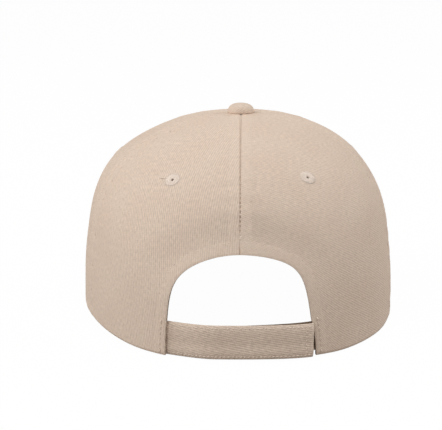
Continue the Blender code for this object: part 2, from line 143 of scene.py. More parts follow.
# Painted light over the hem band and its rolled edge
HEM_PAINTED_LIGHT = 0.5
HEM_BUNCHING = {-1: 0.0006, 1: 0.007}
HEM_BUNCHING_WIDTH = 0.008
# Painted shade in the soft crease above the arch, beside the centre seam
CREASE_PAINTED_SHADE = 0.24
CREASE_OFFSET = 0.006
CREASE_WIDTH = 0.020
CREASE_HEIGHT = 0.016
CREASE_DEPTH = 0.009
PUCKER = 0.00008
PUCKER_LENGTH = 0.009

# Lining
TAPE_WIDTH = 0.012
TAPE_THICKNESS = 0.0005
TAPE_TAPER_ANGLE = math.radians(25)
TAPE_END_RADIUS = 0.0065
TAPE_ROW = 0.0046
TAPE_PUFF = 0.0002
TAPE_DENT = 0.00012
TAPE_DENT_SHARE = 0.08
BIAS_GRAIN = 45
BUCKRAM_THICKNESS = 0.0006
BUCKRAM_BOTTOM = 0.002
BUCKRAM_TOP = 0.012
SWEATBAND_WIDTH = 0.033
SWEATBAND_THICKNESS = 0.0012
SWEATBAND_PUFF = 0.00028
SWEATBAND_ROWS = (0.07, 0.88)
SWEATBAND_DENT = 0.00016
SWEATBAND_DENT_SHARE = 0.025
SWEATBAND_GRAIN = 60

# Visor
VISOR_AZIMUTH = math.radians(116)
VISOR_DEPTH = 0.070
VISOR_END_DEPTH = 0.006
VISOR_OUTLINE_POWER = 2.6
VISOR_TIP_POWER = 0.7
VISOR_SPREAD = math.radians(27)
VISOR_SLOPE = 0.05
VISOR_DROOP = 0.155
VISOR_TUCK = 0.0030
BOARD_THICKNESS = 0.0020
COVER_THICKNESS = 0.0007
COVER_WRAP = math.radians(88)
VISOR_ROWS = (0.0045, 0.0115, 0.0185, 0.0255, 0.0325, 0.0395)
VISOR_ROW_MARGIN = 0.002
VISOR_ROW_END = 0.003
VISOR_ROW_DENT = 0.00012
VISOR_WEAR_WIDTH = 0.0015
VISOR_GRAIN = 52

# Top button
BUTTON_RADIUS = 0.0078
BUTTON_HEIGHT = 0.0056
BUTTON_COVER_THICKNESS = 0.00048
BUTTON_GATHERS = 13
BUTTON_GATHER = 0.012
BUTTON_TUCK = 0.86
BUTTON_GRAIN = 40

# Eyelets
EYELET_RADIUS = 0.0043
EYELET_HOLE_RADIUS = 0.0008
EYELET_HEIGHT = {-1: 0.0945, 1: 0.0957}
EYELET_BACK_AZIMUTH = {-1: math.radians(30.5), 1: math.radians(31.0)}
EYELET_CUT = 0.55
EYELET_THREADS = 52
EYELET_RAGGED = (0.86, 1.10)
EYELET_WANDER = 0.3
EYELET_SLANT = 0.10
EYELET_THREAD_START = 0.92
EYELET_CREST = 0.0003
EYELET_THREAD_RADIUS = 0.0002
LOOSE_END_LENGTH = 0.0045
LOOSE_END_BOW = 0.0009
EYELET_TILT = math.radians(27)
EYELET_STRETCH = 1.05
EYELET_SQUEEZE = 0.90

# Strap closure
STRAP_WIDTH = 0.0193
STRAP_THICKNESS = 0.0012
STRAP_ROOT_LENGTH = 0.010
STRAP_END_GAP = 0.0017
STRAP_RAMP = 0.030
STRAP_FLATTEN = 0.005
STRAP_FLATTEN_POWER = 1.5
STRAP_TILT = -0.0006
STRAP_LIFT = 0.0013
LOOP_STRAP_LENGTH = 0.046
LOOP_STRAP_LIFT = 0.0024
LOOP_STRAP_DIP = 0.0020
CLOSURE_TAPE_THICKNESS = 0.0008
CLOSURE_TAPE_LENGTH = 0.038
CLOSURE_TAPE_MARGIN = 0.0020
# The dark loop tape stands above the inner strap's edge and past its hinge, as painted shade there
LOOP_TAPE_SHADE_OVERHANG = 0.0006
LOOP_TAPE_SHADE_TUCK = 0.0012
STRAP_PUFF = 0.00035
STRAP_PUFF_WIDTH = 0.004
STRAP_DENT = 0.00015
STRAP_DENT_WIDTH = 0.0006
STRAP_HOLLOW = 0.0003
STRAP_HOLLOW_SHARE = 0.42
STRAP_HOLLOW_SPREAD = 0.16
STRAP_WEAR_OFFSET = 0.0006
STRAP_GRAIN = -11
STRAP_ROW = 0.0016
STRAP_ROW_SETBACK = 0.004
STRAP_END_ROW = 0.0042
STRAP_END_ROW_SPAN = (0.09, 0.91)
HOOK_CURL = 0.0006
HOOK_PITCH = 0.0013
PILE_CURL = 0.0009
PILE_PITCH = 0.0011
BRISTLE_RADIUS = 0.00009
BRISTLE_STAND = 0.00044
BRISTLE_WANDER = (-0.35, 0.35)
STRAP_STITCH = {"length": 0.0013, "gap": 0.0009, "radius": 0.00021}
HINGE_SETBACK = 0.0012
HINGE_REACH = 0.0014
ROOT_DEPTH = LINING_DEPTH + FACING_THICKNESS + GAP
CLOSURE_STACK = STRAP_THICKNESS + 2 * CLOSURE_TAPE_THICKNESS + 3 * GAP

# Camera, set by the photograph's frame of 442 by 430 pixels
FRAME_WIDTH = 442
SENSOR_WIDTH = 36.0
FOCAL_PIXELS = 1099.5
CAMERA_PLACE = (0.0005, -0.6526, 0.2199)
CAMERA_PITCH = math.radians(13.946)
CAMERA_YAW = math.radians(1.083)

# Floor, sky and lamps
FLOOR_REACH = 20.0
FLOOR_DROP = 0.0004
FLOOR_COLOUR = (0.37, 0.355, 0.34, 1)
FLOOR_GLOW = 0.98
SKY_COLOUR = (1, 0.975, 0.945, 1)
SKY_STRENGTH = 0.28
LAMP_AIM = (0.0, 0.0, 0.06)

LEAST_AREA_SHARE = 0.31
SIDES = (("left", -1), ("right", 1))
random = np.random.default_rng(7)


# Shape of the crown


def smooth(share):
    share = np.clip(share, 0.0, 1.0)
    return share * share * (3 - 2 * share)


def hump(value, middle, width):
    return np.exp(-(((value - middle) / width) ** 2))


def lengths_along(points, axis):
    """Running length along one axis of a grid of points."""
    steps = np.linalg.norm(np.diff(points, axis=axis), axis=-1)
    start = np.zeros_like(np.take(steps, [0], axis=axis))
    return np.concatenate((start, np.cumsum(steps, axis=axis)), axis=axis)


def rim_height(azimuth):
    turn = np.arccos(np.clip(np.cos(azimuth), -1, 1))
    side = np.clip((turn - RIM_FLAT_AZIMUTH) / (TEMPLE_AZIMUTH - RIM_FLAT_AZIMUTH), 0, 1)
    front = np.clip((turn - TEMPLE_AZIMUTH) / (np.pi - TEMPLE_AZIMUTH), 0, 1)
    low = RIM_SIDE_RISE * (1 - np.cos(np.pi * side)) / 2
    return low + (RIM_FRONT_RISE - RIM_SIDE_RISE) * (1 - np.cos(np.pi * front)) / 2


def crown_shares(rise):
    """Radius and height, as shares of the rim's and the crown's, at rise 0 (rim) to 1 (top)."""
    tilt = np.pi / 2 * np.clip(rise, 0, 1) ** ROW_SPACING_POWER
    radius = np.maximum(np.cos(tilt), 0) ** (2 / CROWN_SIDE_POWER)
    return radius, np.sin(tilt) ** (2 / CROWN_TOP_POWER)


def rise_at_height(height):
    tilt = np.arcsin((np.asarray(height) / CROWN_HEIGHT) ** (CROWN_TOP_POWER / 2))
    return (tilt / (np.pi / 2)) ** (1 / ROW_SPACING_POWER)


def rise_at_radius(radius):
    tilt = np.arccos((radius / CROWN_HALF_WIDTH) ** (CROWN_SIDE_POWER / 2))
    return (tilt / (np.pi / 2)) ** (1 / ROW_SPACING_POWER)


def softened(values):
    """Even run of values over the crown's height, with the corners between its knots rounded."""
    count, reach = 400, 80
    rough = np.interp(np.linspace(0, 1, count), SLACK_HEIGHTS, values)
    weights = hump(np.linspace(-1, 1, 2 * reach + 1) * reach / count, 0, SLACK_BLEND)
    padded = np.pad(rough, reach, mode="edge")
    return np.convolve(padded, weights / weights.sum(), "valid")


SLACK = {-1: softened(LEFT_SLACK), 1: softened(RIGHT_SLACK)}


def slack(height, turn):
    """Outward bulge of the crown's two sides; turn is the azimuth in degrees."""
    total = 0.0
    for side, run in SLACK.items():
        bulge = np.interp(height, np.linspace(0, 1, len(run)), run)
        total = total + bulge * hump(turn, side * 90, SLACK_SPREAD)
    return total


def crown_surface(azimuth, rise):
    radius, height = crown_shares(rise)
    length = np.where(np.cos(azimuth) > 0, CROWN_BACK_LENGTH, CROWN_FRONT_LENGTH)
    base = rim_height(azimuth)
    turn = np.degrees(np.arctan2(np.sin(azimuth), np.cos(azimuth)))
    spread_at = np.where(turn < RIGHT_RIM_TURN, *RIGHT_RIM_SPREAD)
    drop = RIGHT_RIM_DROP * hump(turn, RIGHT_RIM_TURN, spread_at)
    drop = drop - LEFT_RIM_LIFT * hump(turn, LEFT_RIM_TURN, LEFT_RIM_SPREAD)
    drop = drop - RIGHT_FOOT_LIFT * hump(turn, FOOT_TURN, FOOT_SPREAD)
    drop = drop - LEFT_FOOT_LIFT * hump(turn, -FOOT_TURN, FOOT_SPREAD)
    settle = TOP_SETTLE * hump(radius, TOP_SETTLE_RADIUS, TOP_SETTLE_SPREAD)
    settle = settle + drop * (1 - height) ** 2
    ripple = RIPPLE
    for around, up in RIPPLE_WAVES:
        ripple = ripple * np.sin(around * azimuth + up * height)
    out = slack(height, turn) + ripple
    x = (CROWN_HALF_WIDTH * radius + out) * np.sin(azimuth)
    y = -(length * radius + out) * np.cos(azimuth)
    return np.stack((x, y, base + (CROWN_HEIGHT - base) * height - settle), -1)


def unit(vectors):
    return vectors / np.maximum(np.linalg.norm(vectors, axis=-1, keepdims=True), 1e-12)


def crown_normal(azimuth, rise):
    step = 1e-4
    around = crown_surface(azimuth + step, rise) - crown_surface(azimuth - step, rise)
    low, high = np.clip(rise - step, 0, 1), np.clip(rise + step, 0, 1)
    return unit(np.cross(around, crown_surface(azimuth, high) - crown_surface(azimuth, low)))


def crown_point(azimuth, rise, lift):
    """Point that stands the given lift off the crown's outer surface."""
    lift = np.broadcast_to(np.asarray(lift, float), np.shape(rise))[..., None]
    return crown_surface(azimuth, rise) + crown_normal(azimuth, rise) * lift


def span(azimuth, rise):
    """Length along the crown, at this rise, of an azimuth."""
    return azimuth * CROWN_HALF_WIDTH * crown_shares(rise)[0]


def turn_of(length, rise):
    """Azimuth that spans a length along the crown at this rise."""
    return length / (CROWN_HALF_WIDTH * crown_shares(rise)[0])


RISES = np.linspace(0, 1, 800)
WALL = np.stack(crown_shares(RISES), -1) * (CROWN_HALF_WIDTH, CROWN_HEIGHT)
CLIMBS = lengths_along(WALL, 0)
TOP_RISE = float(rise_at_radius(APEX_HOLE_RADIUS))


def climb(rise):
    """Length up the crown's wall from the rim to this rise."""
    return np.interp(rise, RISES, CLIMBS)


# Back panels, laid between the arch, the centre seam, the side seam and the rim


def on_disc(azimuth, rise):
    """Flat chart of the crown, with its top at the centre and its rim on a unit circle."""
    return np.stack((np.sin(azimuth), -np.cos(azimuth)), -1) * np.expand_dims(1 - rise, -1)


def arch_chart(share, side):
    """Edge of half of the arch, from its top at share 0 to the rim at share 1."""
    turn = np.pi / 2 * share
    reach = (np.abs(np.cos(turn)) ** ARCH_POWER + np.sin(turn) ** ARCH_POWER) ** (-1 / ARCH_POWER)
    across = reach * np.sin(turn)
    crest = ARCH_HEIGHT - (ARCH_WIDTH / 2 * across) ** 2 / (2 * ARCH_TOP_RADIUS[side])
    height = crest * np.maximum(reach * np.cos(turn), 0)
    lean = 1 - ARCH_LEAN[side] * smooth(height / ARCH_LEAN_HEIGHT)
    lean = lean + ARCH_FLARE[side] * np.maximum(1 - height / ARCH_FLARE_HEIGHT, 0)
    return on_disc(ARCH_AZIMUTH * across * lean, rise_at_height(height))


def back_place(along, across, side):
    """Azimuth and rise; along runs from the centre seam to the rim, across off the arch's edge."""
    top_rise = rise_at_height(ARCH_HEIGHT)
    side_seam, foot = BACK_SEAM_AZIMUTH[side], ARCH_FOOT[side]
    along, across = np.broadcast_arrays(along, across)
    none, half, whole = np.zeros(along.shape), along[..., None], across[..., None]
    seam = on_disc(none + side_seam, 1 - along)
    centre = on_disc(none, top_rise + across * (1 - top_rise))
    rim = on_disc(foot + across * (side_seam - foot), none)
    corners = (
        (1 - half) * (1 - whole) * on_disc(none, none + top_rise)
        + half * (1 - whole) * on_disc(none + foot, none)
        + half * whole * on_disc(none + side_seam, none)
    )
    chart = (1 - whole) * arch_chart(along, side) + whole * seam
    chart = chart + (1 - half) * centre + half * rim - corners
    far = np.linalg.norm(chart, axis=-1)
    azimuth = np.where(far > 1e-9, np.arctan2(chart[..., 0], -chart[..., 1]), side_seam / 2)
    rise = np.clip(1 - far, 0, TOP_RISE)
    return side * np.clip(azimuth, 0, side_seam), rise


def arch_place(along, offset, side):
    """Place on a back panel that lies an offset off the arch's edge."""
    probe = 0.1
    edge = crown_surface(*back_place(along, 0.0, side))
    reach = np.linalg.norm(crown_surface(*back_place(along, probe, side)) - edge, axis=-1) / probe
    return back_place(along, offset / reach, side)


# Building blocks


def spread(count, ends=0.5):
    """Places from 0 to 1, set closer towards both ends."""
    even = np.linspace(0, 1, count + 1)
    return (1 - ends) * even + ends * (1 - np.cos(np.pi * even)) / 2


def grain(across, up, angle):
    """Weave coordinates, square to the ribs and along them, for ribs that lean at an angle."""
    turn = math.radians(angle)
    square = up * math.cos(turn) - across * math.sin(turn)
    return np.stack((square, across * math.cos(turn) + up * math.sin(turn)), -1)


def put(name, data):
    made = bpy.data.objects.new(name, data)
    bpy.context.scene.collection.objects.link(made)
    return made


def mesh_object(name, vertices, faces, paint, weave=None, wear=None):
    mesh = bpy.data.meshes.new(name)
    mesh.from_pydata(vertices.tolist(), [], faces)
    if weave is not None:
        loops = np.empty(len(mesh.loops), np.int32)
        mesh.loops.foreach_get("vertex_index", loops)
        mesh.uv_layers.new(name="cloth").uv.foreach_set(
            "vector", weave[loops].astype(np.float32).ravel()
        )
    if wear is not None:
        mesh.attributes.new("wear", "FLOAT", "POINT").data.foreach_set(
            "value", wear.astype(np.float32)
        )
    mesh.materials.append(paint)
    mesh.shade_smooth()
    return put(name, mesh)


def cell_corners(grid):
    return grid[:-1, :-1], grid[:-1, 1:], grid[1:, 1:], grid[1:, :-1]


def grid_faces(rows, columns):
    grid = np.arange(rows * columns).reshape(rows, columns)
    return np.stack(cell_corners(grid), -1).reshape(-1, 4)


def join_ends(piece):
    """Joins the first and last columns of a grid that runs all the way round."""
    piece.modifiers.new("Close", "WELD").merge_threshold = 1e-6


def cloth(name, points, weave, paint, thickness, wear=None, hole=None, ring=False):
    """Sheet over a grid of points (rows, columns, 3), thickened behind its face."""
    rows, columns = points.shape[:2]
    vertices, faces = points.reshape(-1, 3), grid_faces(rows, columns)
    weave = weave.reshape(-1, 2)
    wear = np.zeros(len(vertices)) if wear is None else wear.ravel()
    if hole is not None:
        middle, radius = hole
        away = np.linalg.norm(vertices[faces].mean(1) - middle, axis=1)
        faces = faces[away > radius]
        used, faces = np.unique(faces, return_inverse=True)
        faces = faces.reshape(-1, 4)
        vertices, weave, wear = vertices[used], weave[used], wear[used]
    made = mesh_object(name, vertices, faces.tolist(), paint, weave, wear)
    if ring:
        join_ends(made)
    shell = made.modifiers.new("Thickness", "SOLIDIFY")
    shell.thickness = thickness
    shell.offset = -1
    return made


def as_sheet(points):
    """Measures the width, length and area that a cloth's grid has when laid flat, and keeps none of
    them.
    """
    rows, columns = lengths_along(points, 1)[:, -1], lengths_along(points, 0)[-1]
    width, length = float(rows.max()), float(columns.max())
    around = cell_corners(points)
    area = np.linalg.norm(np.cross(around[2] - around[0], around[3] - around[1]), axis=-1).sum() / 2
    area = min(max(float(area), LEAST_AREA_SHARE * width * length), width * length)


def dress(piece, slot, *nodes, body="cap"):
    if body:
        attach(piece, body)
    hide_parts(*nodes)


def lay(name, points, weave, paint, thickness, slot, nodes, body="cap", rests_on=(), **looks):
    """Cloth that takes the place of solids, dressed over them; its flat size is measured but not
    kept.
    """
    piece = cloth(name, points, weave, paint, thickness, **looks)
    dress(piece, slot, *nodes, body=body)
    as_sheet(points)
    return piece


def stitches(path, normals, length=STITCH_LENGTH, gap=STITCH_GAP, sunk=0.5, radius=THREAD_RADIUS):
    """Centre lines and normals of a row of stitches that dive into the cloth at both ends."""
    run = lengths_along(path, 0)
    count = int((run[-1] + gap) / (length + gap))
    share = np.linspace(0, 1, 5)
    starts = np.arange(count) * (length + gap) + (run[-1] + gap - count * (length + gap)) / 2
    at = starts[:, None] + share * length
    line = np.stack([np.interp(at, run, path[:, i]) for i in range(3)], -1)
    normal = unit(np.stack([np.interp(at, run, normals[:, i]) for i in range(3)], -1))
    lift = radius * (1.5 * np.sin(np.pi * share) ** 0.6 - 0.5 - sunk)
    return line + normal * lift[:, None], normal


def sew(name, rows, paint, radius=THREAD_RADIUS, sides=6):
    """One mesh of all the threads in rows of (centre lines, normals)."""
    line = np.concatenate([row[0] for row in rows])
    normal = np.concatenate([row[1] for row in rows])
    count, places = line.shape[:2]
    tangent = unit(np.gradient(line, axis=1))
    aside = unit(np.cross(tangent, normal))
    upward = np.cross(aside, tangent)
    taper = radius * np.sin(np.pi * (np.arange(places) + 0.7) / (places + 0.4)) ** 0.5
    turn = 2 * np.pi * np.arange(sides) / sides
    ring = aside[:, :, None] * np.cos(turn)[:, None] + upward[:, :, None] * np.sin(turn)[:, None]
    body = line[:, :, None] + ring * taper[:, None, None]
    tips = line[:, [0, -1]] + tangent[:, [0, -1]] * radius * np.array([-0.6, 0.6])[:, None]
    vertices = np.concatenate((body.reshape(count, -1, 3), tips), 1)
    inner = np.arange(places * sides).reshape(places, sides)
    inner = np.concatenate((inner, inner[:, :1]), 1)
    first, last = places * sides, places * sides + 1
    faces = np.stack(cell_corners(inner), -1).reshape(-1, 4).tolist()
    for i in range(sides):
        faces.append([first, inner[0, i + 1], inner[0, i]])
        faces.append([last, inner[-1, i], inner[-1, i + 1]])
    size = places * sides + 2
    every = [[int(v) + size * k for v in face] for k in range(count) for face in faces]
    long = lengths_along(line, 1)[:, :, None] + np.arange(count)[:, None, None] * 0.01
    weave = np.stack(np.broadcast_arrays(long, turn * radius), -1).reshape(count, -1, 2)
    weave = np.concatenate((weave, weave[:, [0, -1]]), 1)
    return mesh_object(name, vertices.reshape(-1, 3), every, paint, weave.reshape(-1, 2))


# Materials


def srgb(red, green, blue):
    """Linear colour of an sRGB one given from 0 to 255."""
    share = np.array((red, green, blue)) / 255
    linear = np.where(share <= 0.04045, share / 12.92, ((share + 0.055) / 1.055) ** 2.4)
    return (*linear.tolist(), 1.0)


def tinted(colour, factor):
    return (*(min(value * factor, 1.0) for value in colour[:3]), 1.0)


def material(name):
    made = bpy.data.materials.new(name)
    made.use_nodes = True
    return made, made.node_tree, made.node_tree.nodes["Principled BSDF"]


def feed(tree, node, inputs):
    """Gives a node its inputs, which are values or other nodes' outputs."""
    for key, value in inputs.items():
        if isinstance(value, bpy.types.NodeSocket):
            tree.links.new(value, node.inputs[key])
        else:
            node.inputs[key].default_value = value


def add(tree, kind, inputs, output=0, **settings):
    """New node with its settings and inputs."""
    made = tree.nodes.new("ShaderNode" + kind)
    for key, value in settings.items():
        setattr(made, key, value)
    feed(tree, made, inputs)
    return made.outputs[output]


def mixed(tree, factor, first, second):
    return add(tree, "Mix", {0: factor, 6: first, 7: second}, 2, data_type="RGBA")


def weighted(tree, *terms):
    """Sum of sockets, each times its weight."""
    total = 0.0
    for socket, weight in terms:
        total = add(tree, "Math", {0: socket, 1: weight, 2: total}, operation="MULTIPLY_ADD")
    return total


def bands(tree, at, pitch, direction, distortion):
    """Even ribs of a pitch in metres, wandering a little."""
    inputs = {
        "Vector": at,
        "Scale": 2 * math.pi / (20 * pitch),
        "Distortion": distortion,
        "Detail": 2.0,
        "Detail Scale": 0.25,
        "Detail Roughness": 0.6,
    }
    return add(tree, "TexWave", inputs, 1, bands_direction=direction)


def noise(tree, at, size, detail=3.0):
    return add(tree, "TexNoise", {"Vector": at, "Scale": 1 / size, "Detail": detail})


def woven(name, colour, pitch, contrast, depth, sheen=0.25, float_share=0.25):
    """Cloth with ribs across the first weave coordinate, mottled, paler where worn or painted
    light, darker where painted shade.
    """
    made, tree, shader = material(name)
    at = add(tree, "UVMap", {}, uv_map="cloth")
    ribs = bands(tree, at, pitch, "X", 2.4)
    floats = bands(tree, at, pitch * 0.8, "Y", 2.5)
    drawn = add(tree, "Mapping", {"Vector": at, "Scale": (1, 0.45, 1)})
    fibres = add(tree, "MapRange", {0: noise(tree, drawn, pitch * 0.8), 1: 0.3, 2: 0.7})
    patches = noise(tree, at, MOTTLE_SIZE, 4.0)
    shade = weighted(tree, (ribs, 0.42), (fibres, 0.48), (floats, float_share * 0.4))
    dark, light = tinted(colour, 1 - contrast), tinted(colour, 1 + contrast * 0.85)
    body = mixed(tree, shade, dark, light)
    rosy = (colour[0] * 1.01, colour[1] * 0.975, colour[2] * 0.97, 1.0)
    pinker = mixed(tree, shade, tinted(rosy, 1 - contrast), tinted(rosy, 1 + contrast * 0.5))
    hue = add(tree, "MapRange", {0: patches, 1: 0.35, 2: 0.65, 3: 0.0, 4: 0.6})
    body = mixed(tree, hue, body, pinker)
    # Above 0 this attribute paints wear and highlights paler, below 0 it paints shade darker
    wear_and_painted_light_factor = add(tree, "Attribute", {}, 2, attribute_name="wear")
    body = mixed(tree, weighted(tree, (wear_and_painted_light_factor, 0.35)), body, tinted(colour, 1.12))
    body = mixed(tree, weighted(tree, (wear_and_painted_light_factor, -0.45)), body, tinted(colour, 0.25))
    height = weighted(tree, (ribs, 0.8), (floats, float_share), (fibres, 0.15))
    bump = add(tree, "Bump", {"Height": height, "Distance": depth, "Strength": 0.7})
    inputs = {
        "Base Color": body,
        "Normal": bump,
        "Roughness": 0.92,
        "Sheen Weight": sheen,
        "Sheen Roughness": 0.45,
        "Sheen Tint": tinted(colour, 1.15),
        "Specular IOR Level": 0.2,
    }
    feed(tree, shader, inputs)
    return made


def spun(name, colour, roughness=0.7):
    """Twisted thread, with its strands running slantwise round it."""
    made, tree, shader = material(name)
    at = add(tree, "UVMap", {}, uv_map="cloth")
    inputs = {"Vector": at, "Scale": 2 * math.pi / (20 * STRAND_PITCH), "Distortion": 0.6}
    strands = add(tree, "TexWave", inputs, 1, bands_direction="DIAGONAL")
    tone = noise(tree, at, 0.004)
    body = mixed(tree, weighted(tree, (strands, 0.6), (tone, 0.4)), tinted(colour, 0.82), colour)
    bump = add(tree, "Bump", {"Height": strands, "Distance": 0.00005, "Strength": 0.7})
    inputs = {"Base Color": body, "Normal": bump, "Roughness": roughness, "Sheen Weight": 0.2}
    feed(tree, shader, inputs)
    return made


def moulded(name, colour, roughness, metallic=0.0):
    """Plastic or metal with a fine uneven finish."""
    made, tree, shader = material(name)
    at = add(tree, "TexCoord", {}, 3)
    tone = noise(tree, at, SPECK_SIZE, 5.0)
    fine = noise(tree, at, SPECK_SIZE / 8)
    body = mixed(tree, tone, tinted(colour, 0.88), tinted(colour, 1.05))
    rough = add(tree, "MapRange", {0: tone, 3: roughness - 0.08, 4: roughness + 0.08})
    bump = add(tree, "Bump", {"Height": fine, "Distance": 0.00003, "Strength": 0.4})
    inputs = {"Base Color": body, "Roughness": rough, "Normal": bump, "Metallic": metallic}
    feed(tree, shader, inputs)
    return made


KHAKI = srgb(219, 200, 183)
TWILL = woven("khaki_twill", KHAKI, 0.00122, 0.24, 0.00006)
STRAP_TWILL = woven("strap_twill", KHAKI, 0.00125, 0.32, 0.00010)
SHIRTING = woven("sweatband_twill", srgb(216, 197, 180), 0.0008, 0.10, 0.00008)
TAPE = woven("seam_tape_weave", srgb(226, 212, 196), 0.0009, 0.12, 0.0001, float_share=0.6)
BUCKRAM = woven("buckram_mesh", srgb(236, 231, 221), 0.0016, 0.30, 0.0002, float_share=0.9)
# Loop pile coloured dark brown to stand in for the shade between the two straps
SHADE_DARK_NAP = woven("loop_pile_shade_dark", srgb(126, 106, 88), 0.0007, 0.35, 0.0003, 0.6, float_share=0.9)
THREAD = spun("khaki_thread", srgb(230, 212, 196))
CREAM = spun("eyelet_thread", srgb(238, 222, 208), 0.6)
NYLON = moulded("hook_nylon", srgb(140, 120, 101), 0.5)
BOARD = moulded("visor_board", srgb(235, 235, 230), 0.5)
METAL = moulded("button_metal", srgb(190, 190, 188), 0.35, 1.0)


# Crown panels


def sewn_relief(seams, painted_shades_and_depths, rim, hem=None):
    """Height of the cloth over the plain crown, and its wear and painted light, by distance to the
    sewn edges.

    The second is above 0 where the cloth is rubbed pale or a highlight is painted beside a seam or
    along the hem, and below 0 where painted shade darkens the groove of a seam.
    """
    band, dent, wear = 0.0, 0.0, 0.0
    # Each seam's painted shade also sets the depth of its groove
    depths = [SEAM_DEPTH * min(shade, 1.0) for shade in painted_shades_and_depths]
    rows = [(seam, TOPSTITCH_OFFSET, depth, SEAM_WIDTH) for seam, depth in zip(seams, depths)]
    if hem is not None:
        rows.append((hem, HEM_OFFSET, HEM_ROLL, EDGE_ROLL_WIDTH))
    for distance, offset, depth, width in rows:
        band = np.maximum(band, smooth((offset - distance) / BAND_STEP + 0.5))
        dent = np.maximum(dent, ROW_DENT * hump(distance, offset, ROW_DENT_WIDTH))
        dent = np.maximum(dent, depth * hump(distance, 0, width))
        # Painted highlight along the ridge beside each seam
        wear = np.maximum(wear, SEAM_RIDGE_HIGHLIGHT * hump(distance, width * 2, width))
    wear = np.maximum(wear, BAND_WEAR * band)
    # Painted light over the hem band, lifting its rolled edge out of shade
    if hem is not None:
        wear = np.maximum(wear, HEM_PAINTED_LIGHT * smooth((HEM_OFFSET - hem) / BAND_STEP + 0.5))
    # Painted shade darkens the groove of each seam
    for seam, shade in zip(seams, painted_shades_and_depths):
        wear = wear - shade * hump(seam, 0, SEAM_WIDTH)
    dent = np.maximum(dent, EDGE_ROLL * hump(rim, 0, EDGE_ROLL_WIDTH))
    wear = np.maximum(wear, hump(rim, EDGE_ROLL_WIDTH, EDGE_ROLL_WIDTH))
    return band * BAND_RISE - dent, wear


def hem_valley(hem, rise):
    """Depth of the hollow that the hem pulls into the cloth over the arch."""
    high = smooth((climb(rise) - ARCH_HEIGHT / 2) / (ARCH_HEIGHT / 2))
    return HEM_VALLEY * high * hump(hem, HEM_VALLEY_OFFSET, HEM_VALLEY_WIDTH)


def puckers(rise, distance):
    """Small gathers that the seam's stitches pull into the cloth beside it."""
    phase = climb(rise) / PUCKER_LENGTH
    waves = np.sin(2 * np.pi * phase) + np.sin(5 * phase)
    return PUCKER * waves * hump(distance, TOPSTITCH_OFFSET, TOPSTITCH_OFFSET)


def make_panel(name, side, azimuth, rise, seams, middle, rim, hem=None):
    relief, wear = sewn_relief(seams, SEAM_PAINTED_SHADE_AND_DEPTH[name.split("_")[0]], rim, hem)
    weave = grain(span(azimuth - middle, rise), climb(rise), GRAIN[name])
    for seam in seams:
        relief = relief + puckers(rise, seam)
    if hem is not None:
        relief = relief - hem_valley(hem, rise)
        # Painted shade in the soft crease that the hem pulls above the arch, beside the centre seam
        crease = hump(span(azimuth, rise), CREASE_OFFSET, CREASE_WIDTH)
        wear = wear - CREASE_PAINTED_SHADE * crease * hump(hem, CREASE_HEIGHT, CREASE_DEPTH)
        weave[..., 0] -= HEM_BUNCHING[side] * np.exp(-hem / HEM_BUNCHING_WIDTH)
    points = crown_point(azimuth, rise, relief)
    hole = (eyelet_frame(*EYELETS[name])[0], EYELET_RADIUS * EYELET_CUT)
    nodes, looks = [f"{name}_panel"], {"wear": wear, "hole": hole}
    lay(f"{name}_cloth", points, weave, TWILL, PANEL_THICKNESS, "twill", nodes, **looks)


BACK_COLUMNS = 110
BACK_ROWS = 160
SIDE_COLUMNS = 84
SIDE_ROWS = 110
EDGE_SHARE = 0.85
# Strength of the painted shade in the groove of each panel's two seams, which also sets the
# groove's depth
SEAM_PAINTED_SHADE_AND_DEPTH = {"back": (2.2, 0.6), "side": (0.6, 0.9), "front": (0.9, 0.9)}
GRAIN = {
    "back_left": 98,
    "back_right": -29,
    "side_left": 48,
    "side_right": 84,
    "front_left": -48,
    "front_right": 48,
}
SPANS = {
    side: {
        "side": (BACK_SEAM_AZIMUTH[side], FRONT_SEAM_AZIMUTH),
        "front": (FRONT_SEAM_AZIMUTH, math.pi),
    }
    for _, side in SIDES
}
EYELETS = {}
for word, side in SIDES:
    EYELETS[f"back_{word}"] = (side * EYELET_BACK_AZIMUTH[side], EYELET_HEIGHT[side])
    for place, ends in SPANS[side].items():
        EYELETS[f"{place}_{word}"] = (side * sum(ends) / 2, EYELET_HEIGHT[side])


def eyelet_frame(azimuth, height):
    """Place on the crown, the eyelet's long and short half axes as shares, and the way out."""
    rise = rise_at_height(height)
    out = crown_normal(azimuth, rise)
    across = unit(np.cross((0, 0, 1), out))
    up = np.cross(out, across)
    turn = -EYELET_TILT * np.sign(azimuth)
    longer = (math.cos(turn) * across + math.sin(turn) * up) * EYELET_STRETCH
    shorter = (math.cos(turn) * up - math.sin(turn) * across) * EYELET_SQUEEZE
    return crown_surface(azimuth, rise), longer, shorter, out


def make_back_panel(word, side):
    across, along = np.meshgrid(spread(BACK_COLUMNS, EDGE_SHARE), 1 - spread(BACK_ROWS, EDGE_SHARE))
    if side < 0:
        across, along = across[:, ::-1], along[:, ::-1]
    azimuth, rise = back_place(along, across, side)
    surface = crown_surface(azimuth, rise)
    hem = lengths_along(surface[:, ::side], 1)[:, ::side]
    turn = np.abs(azimuth)
    seams = [span(turn, rise), span(BACK_SEAM_AZIMUTH[side] - turn, rise)]
    middle = side * BACK_SEAM_AZIMUTH[side] / 2
    rim = lengths_along(surface, 0)
    make_panel(f"back_{word}", side, azimuth, rise, seams, middle, rim, hem)


def make_whole_panel(place, word, side):
    start, end = SPANS[side][place]
    across, up = np.meshgrid(spread(SIDE_COLUMNS, EDGE_SHARE), spread(SIDE_ROWS))
    turn, rise = start + across * (end - start), TOP_RISE * up
    if side < 0:
        turn, rise = turn[:, ::-1], rise[:, ::-1]
    seams = [span(turn - start, rise), span(end - turn, rise)]
    middle = side * (start + end) / 2
    make_panel(f"{place}_{word}", side, side * turn, rise, seams, middle, climb(rise))


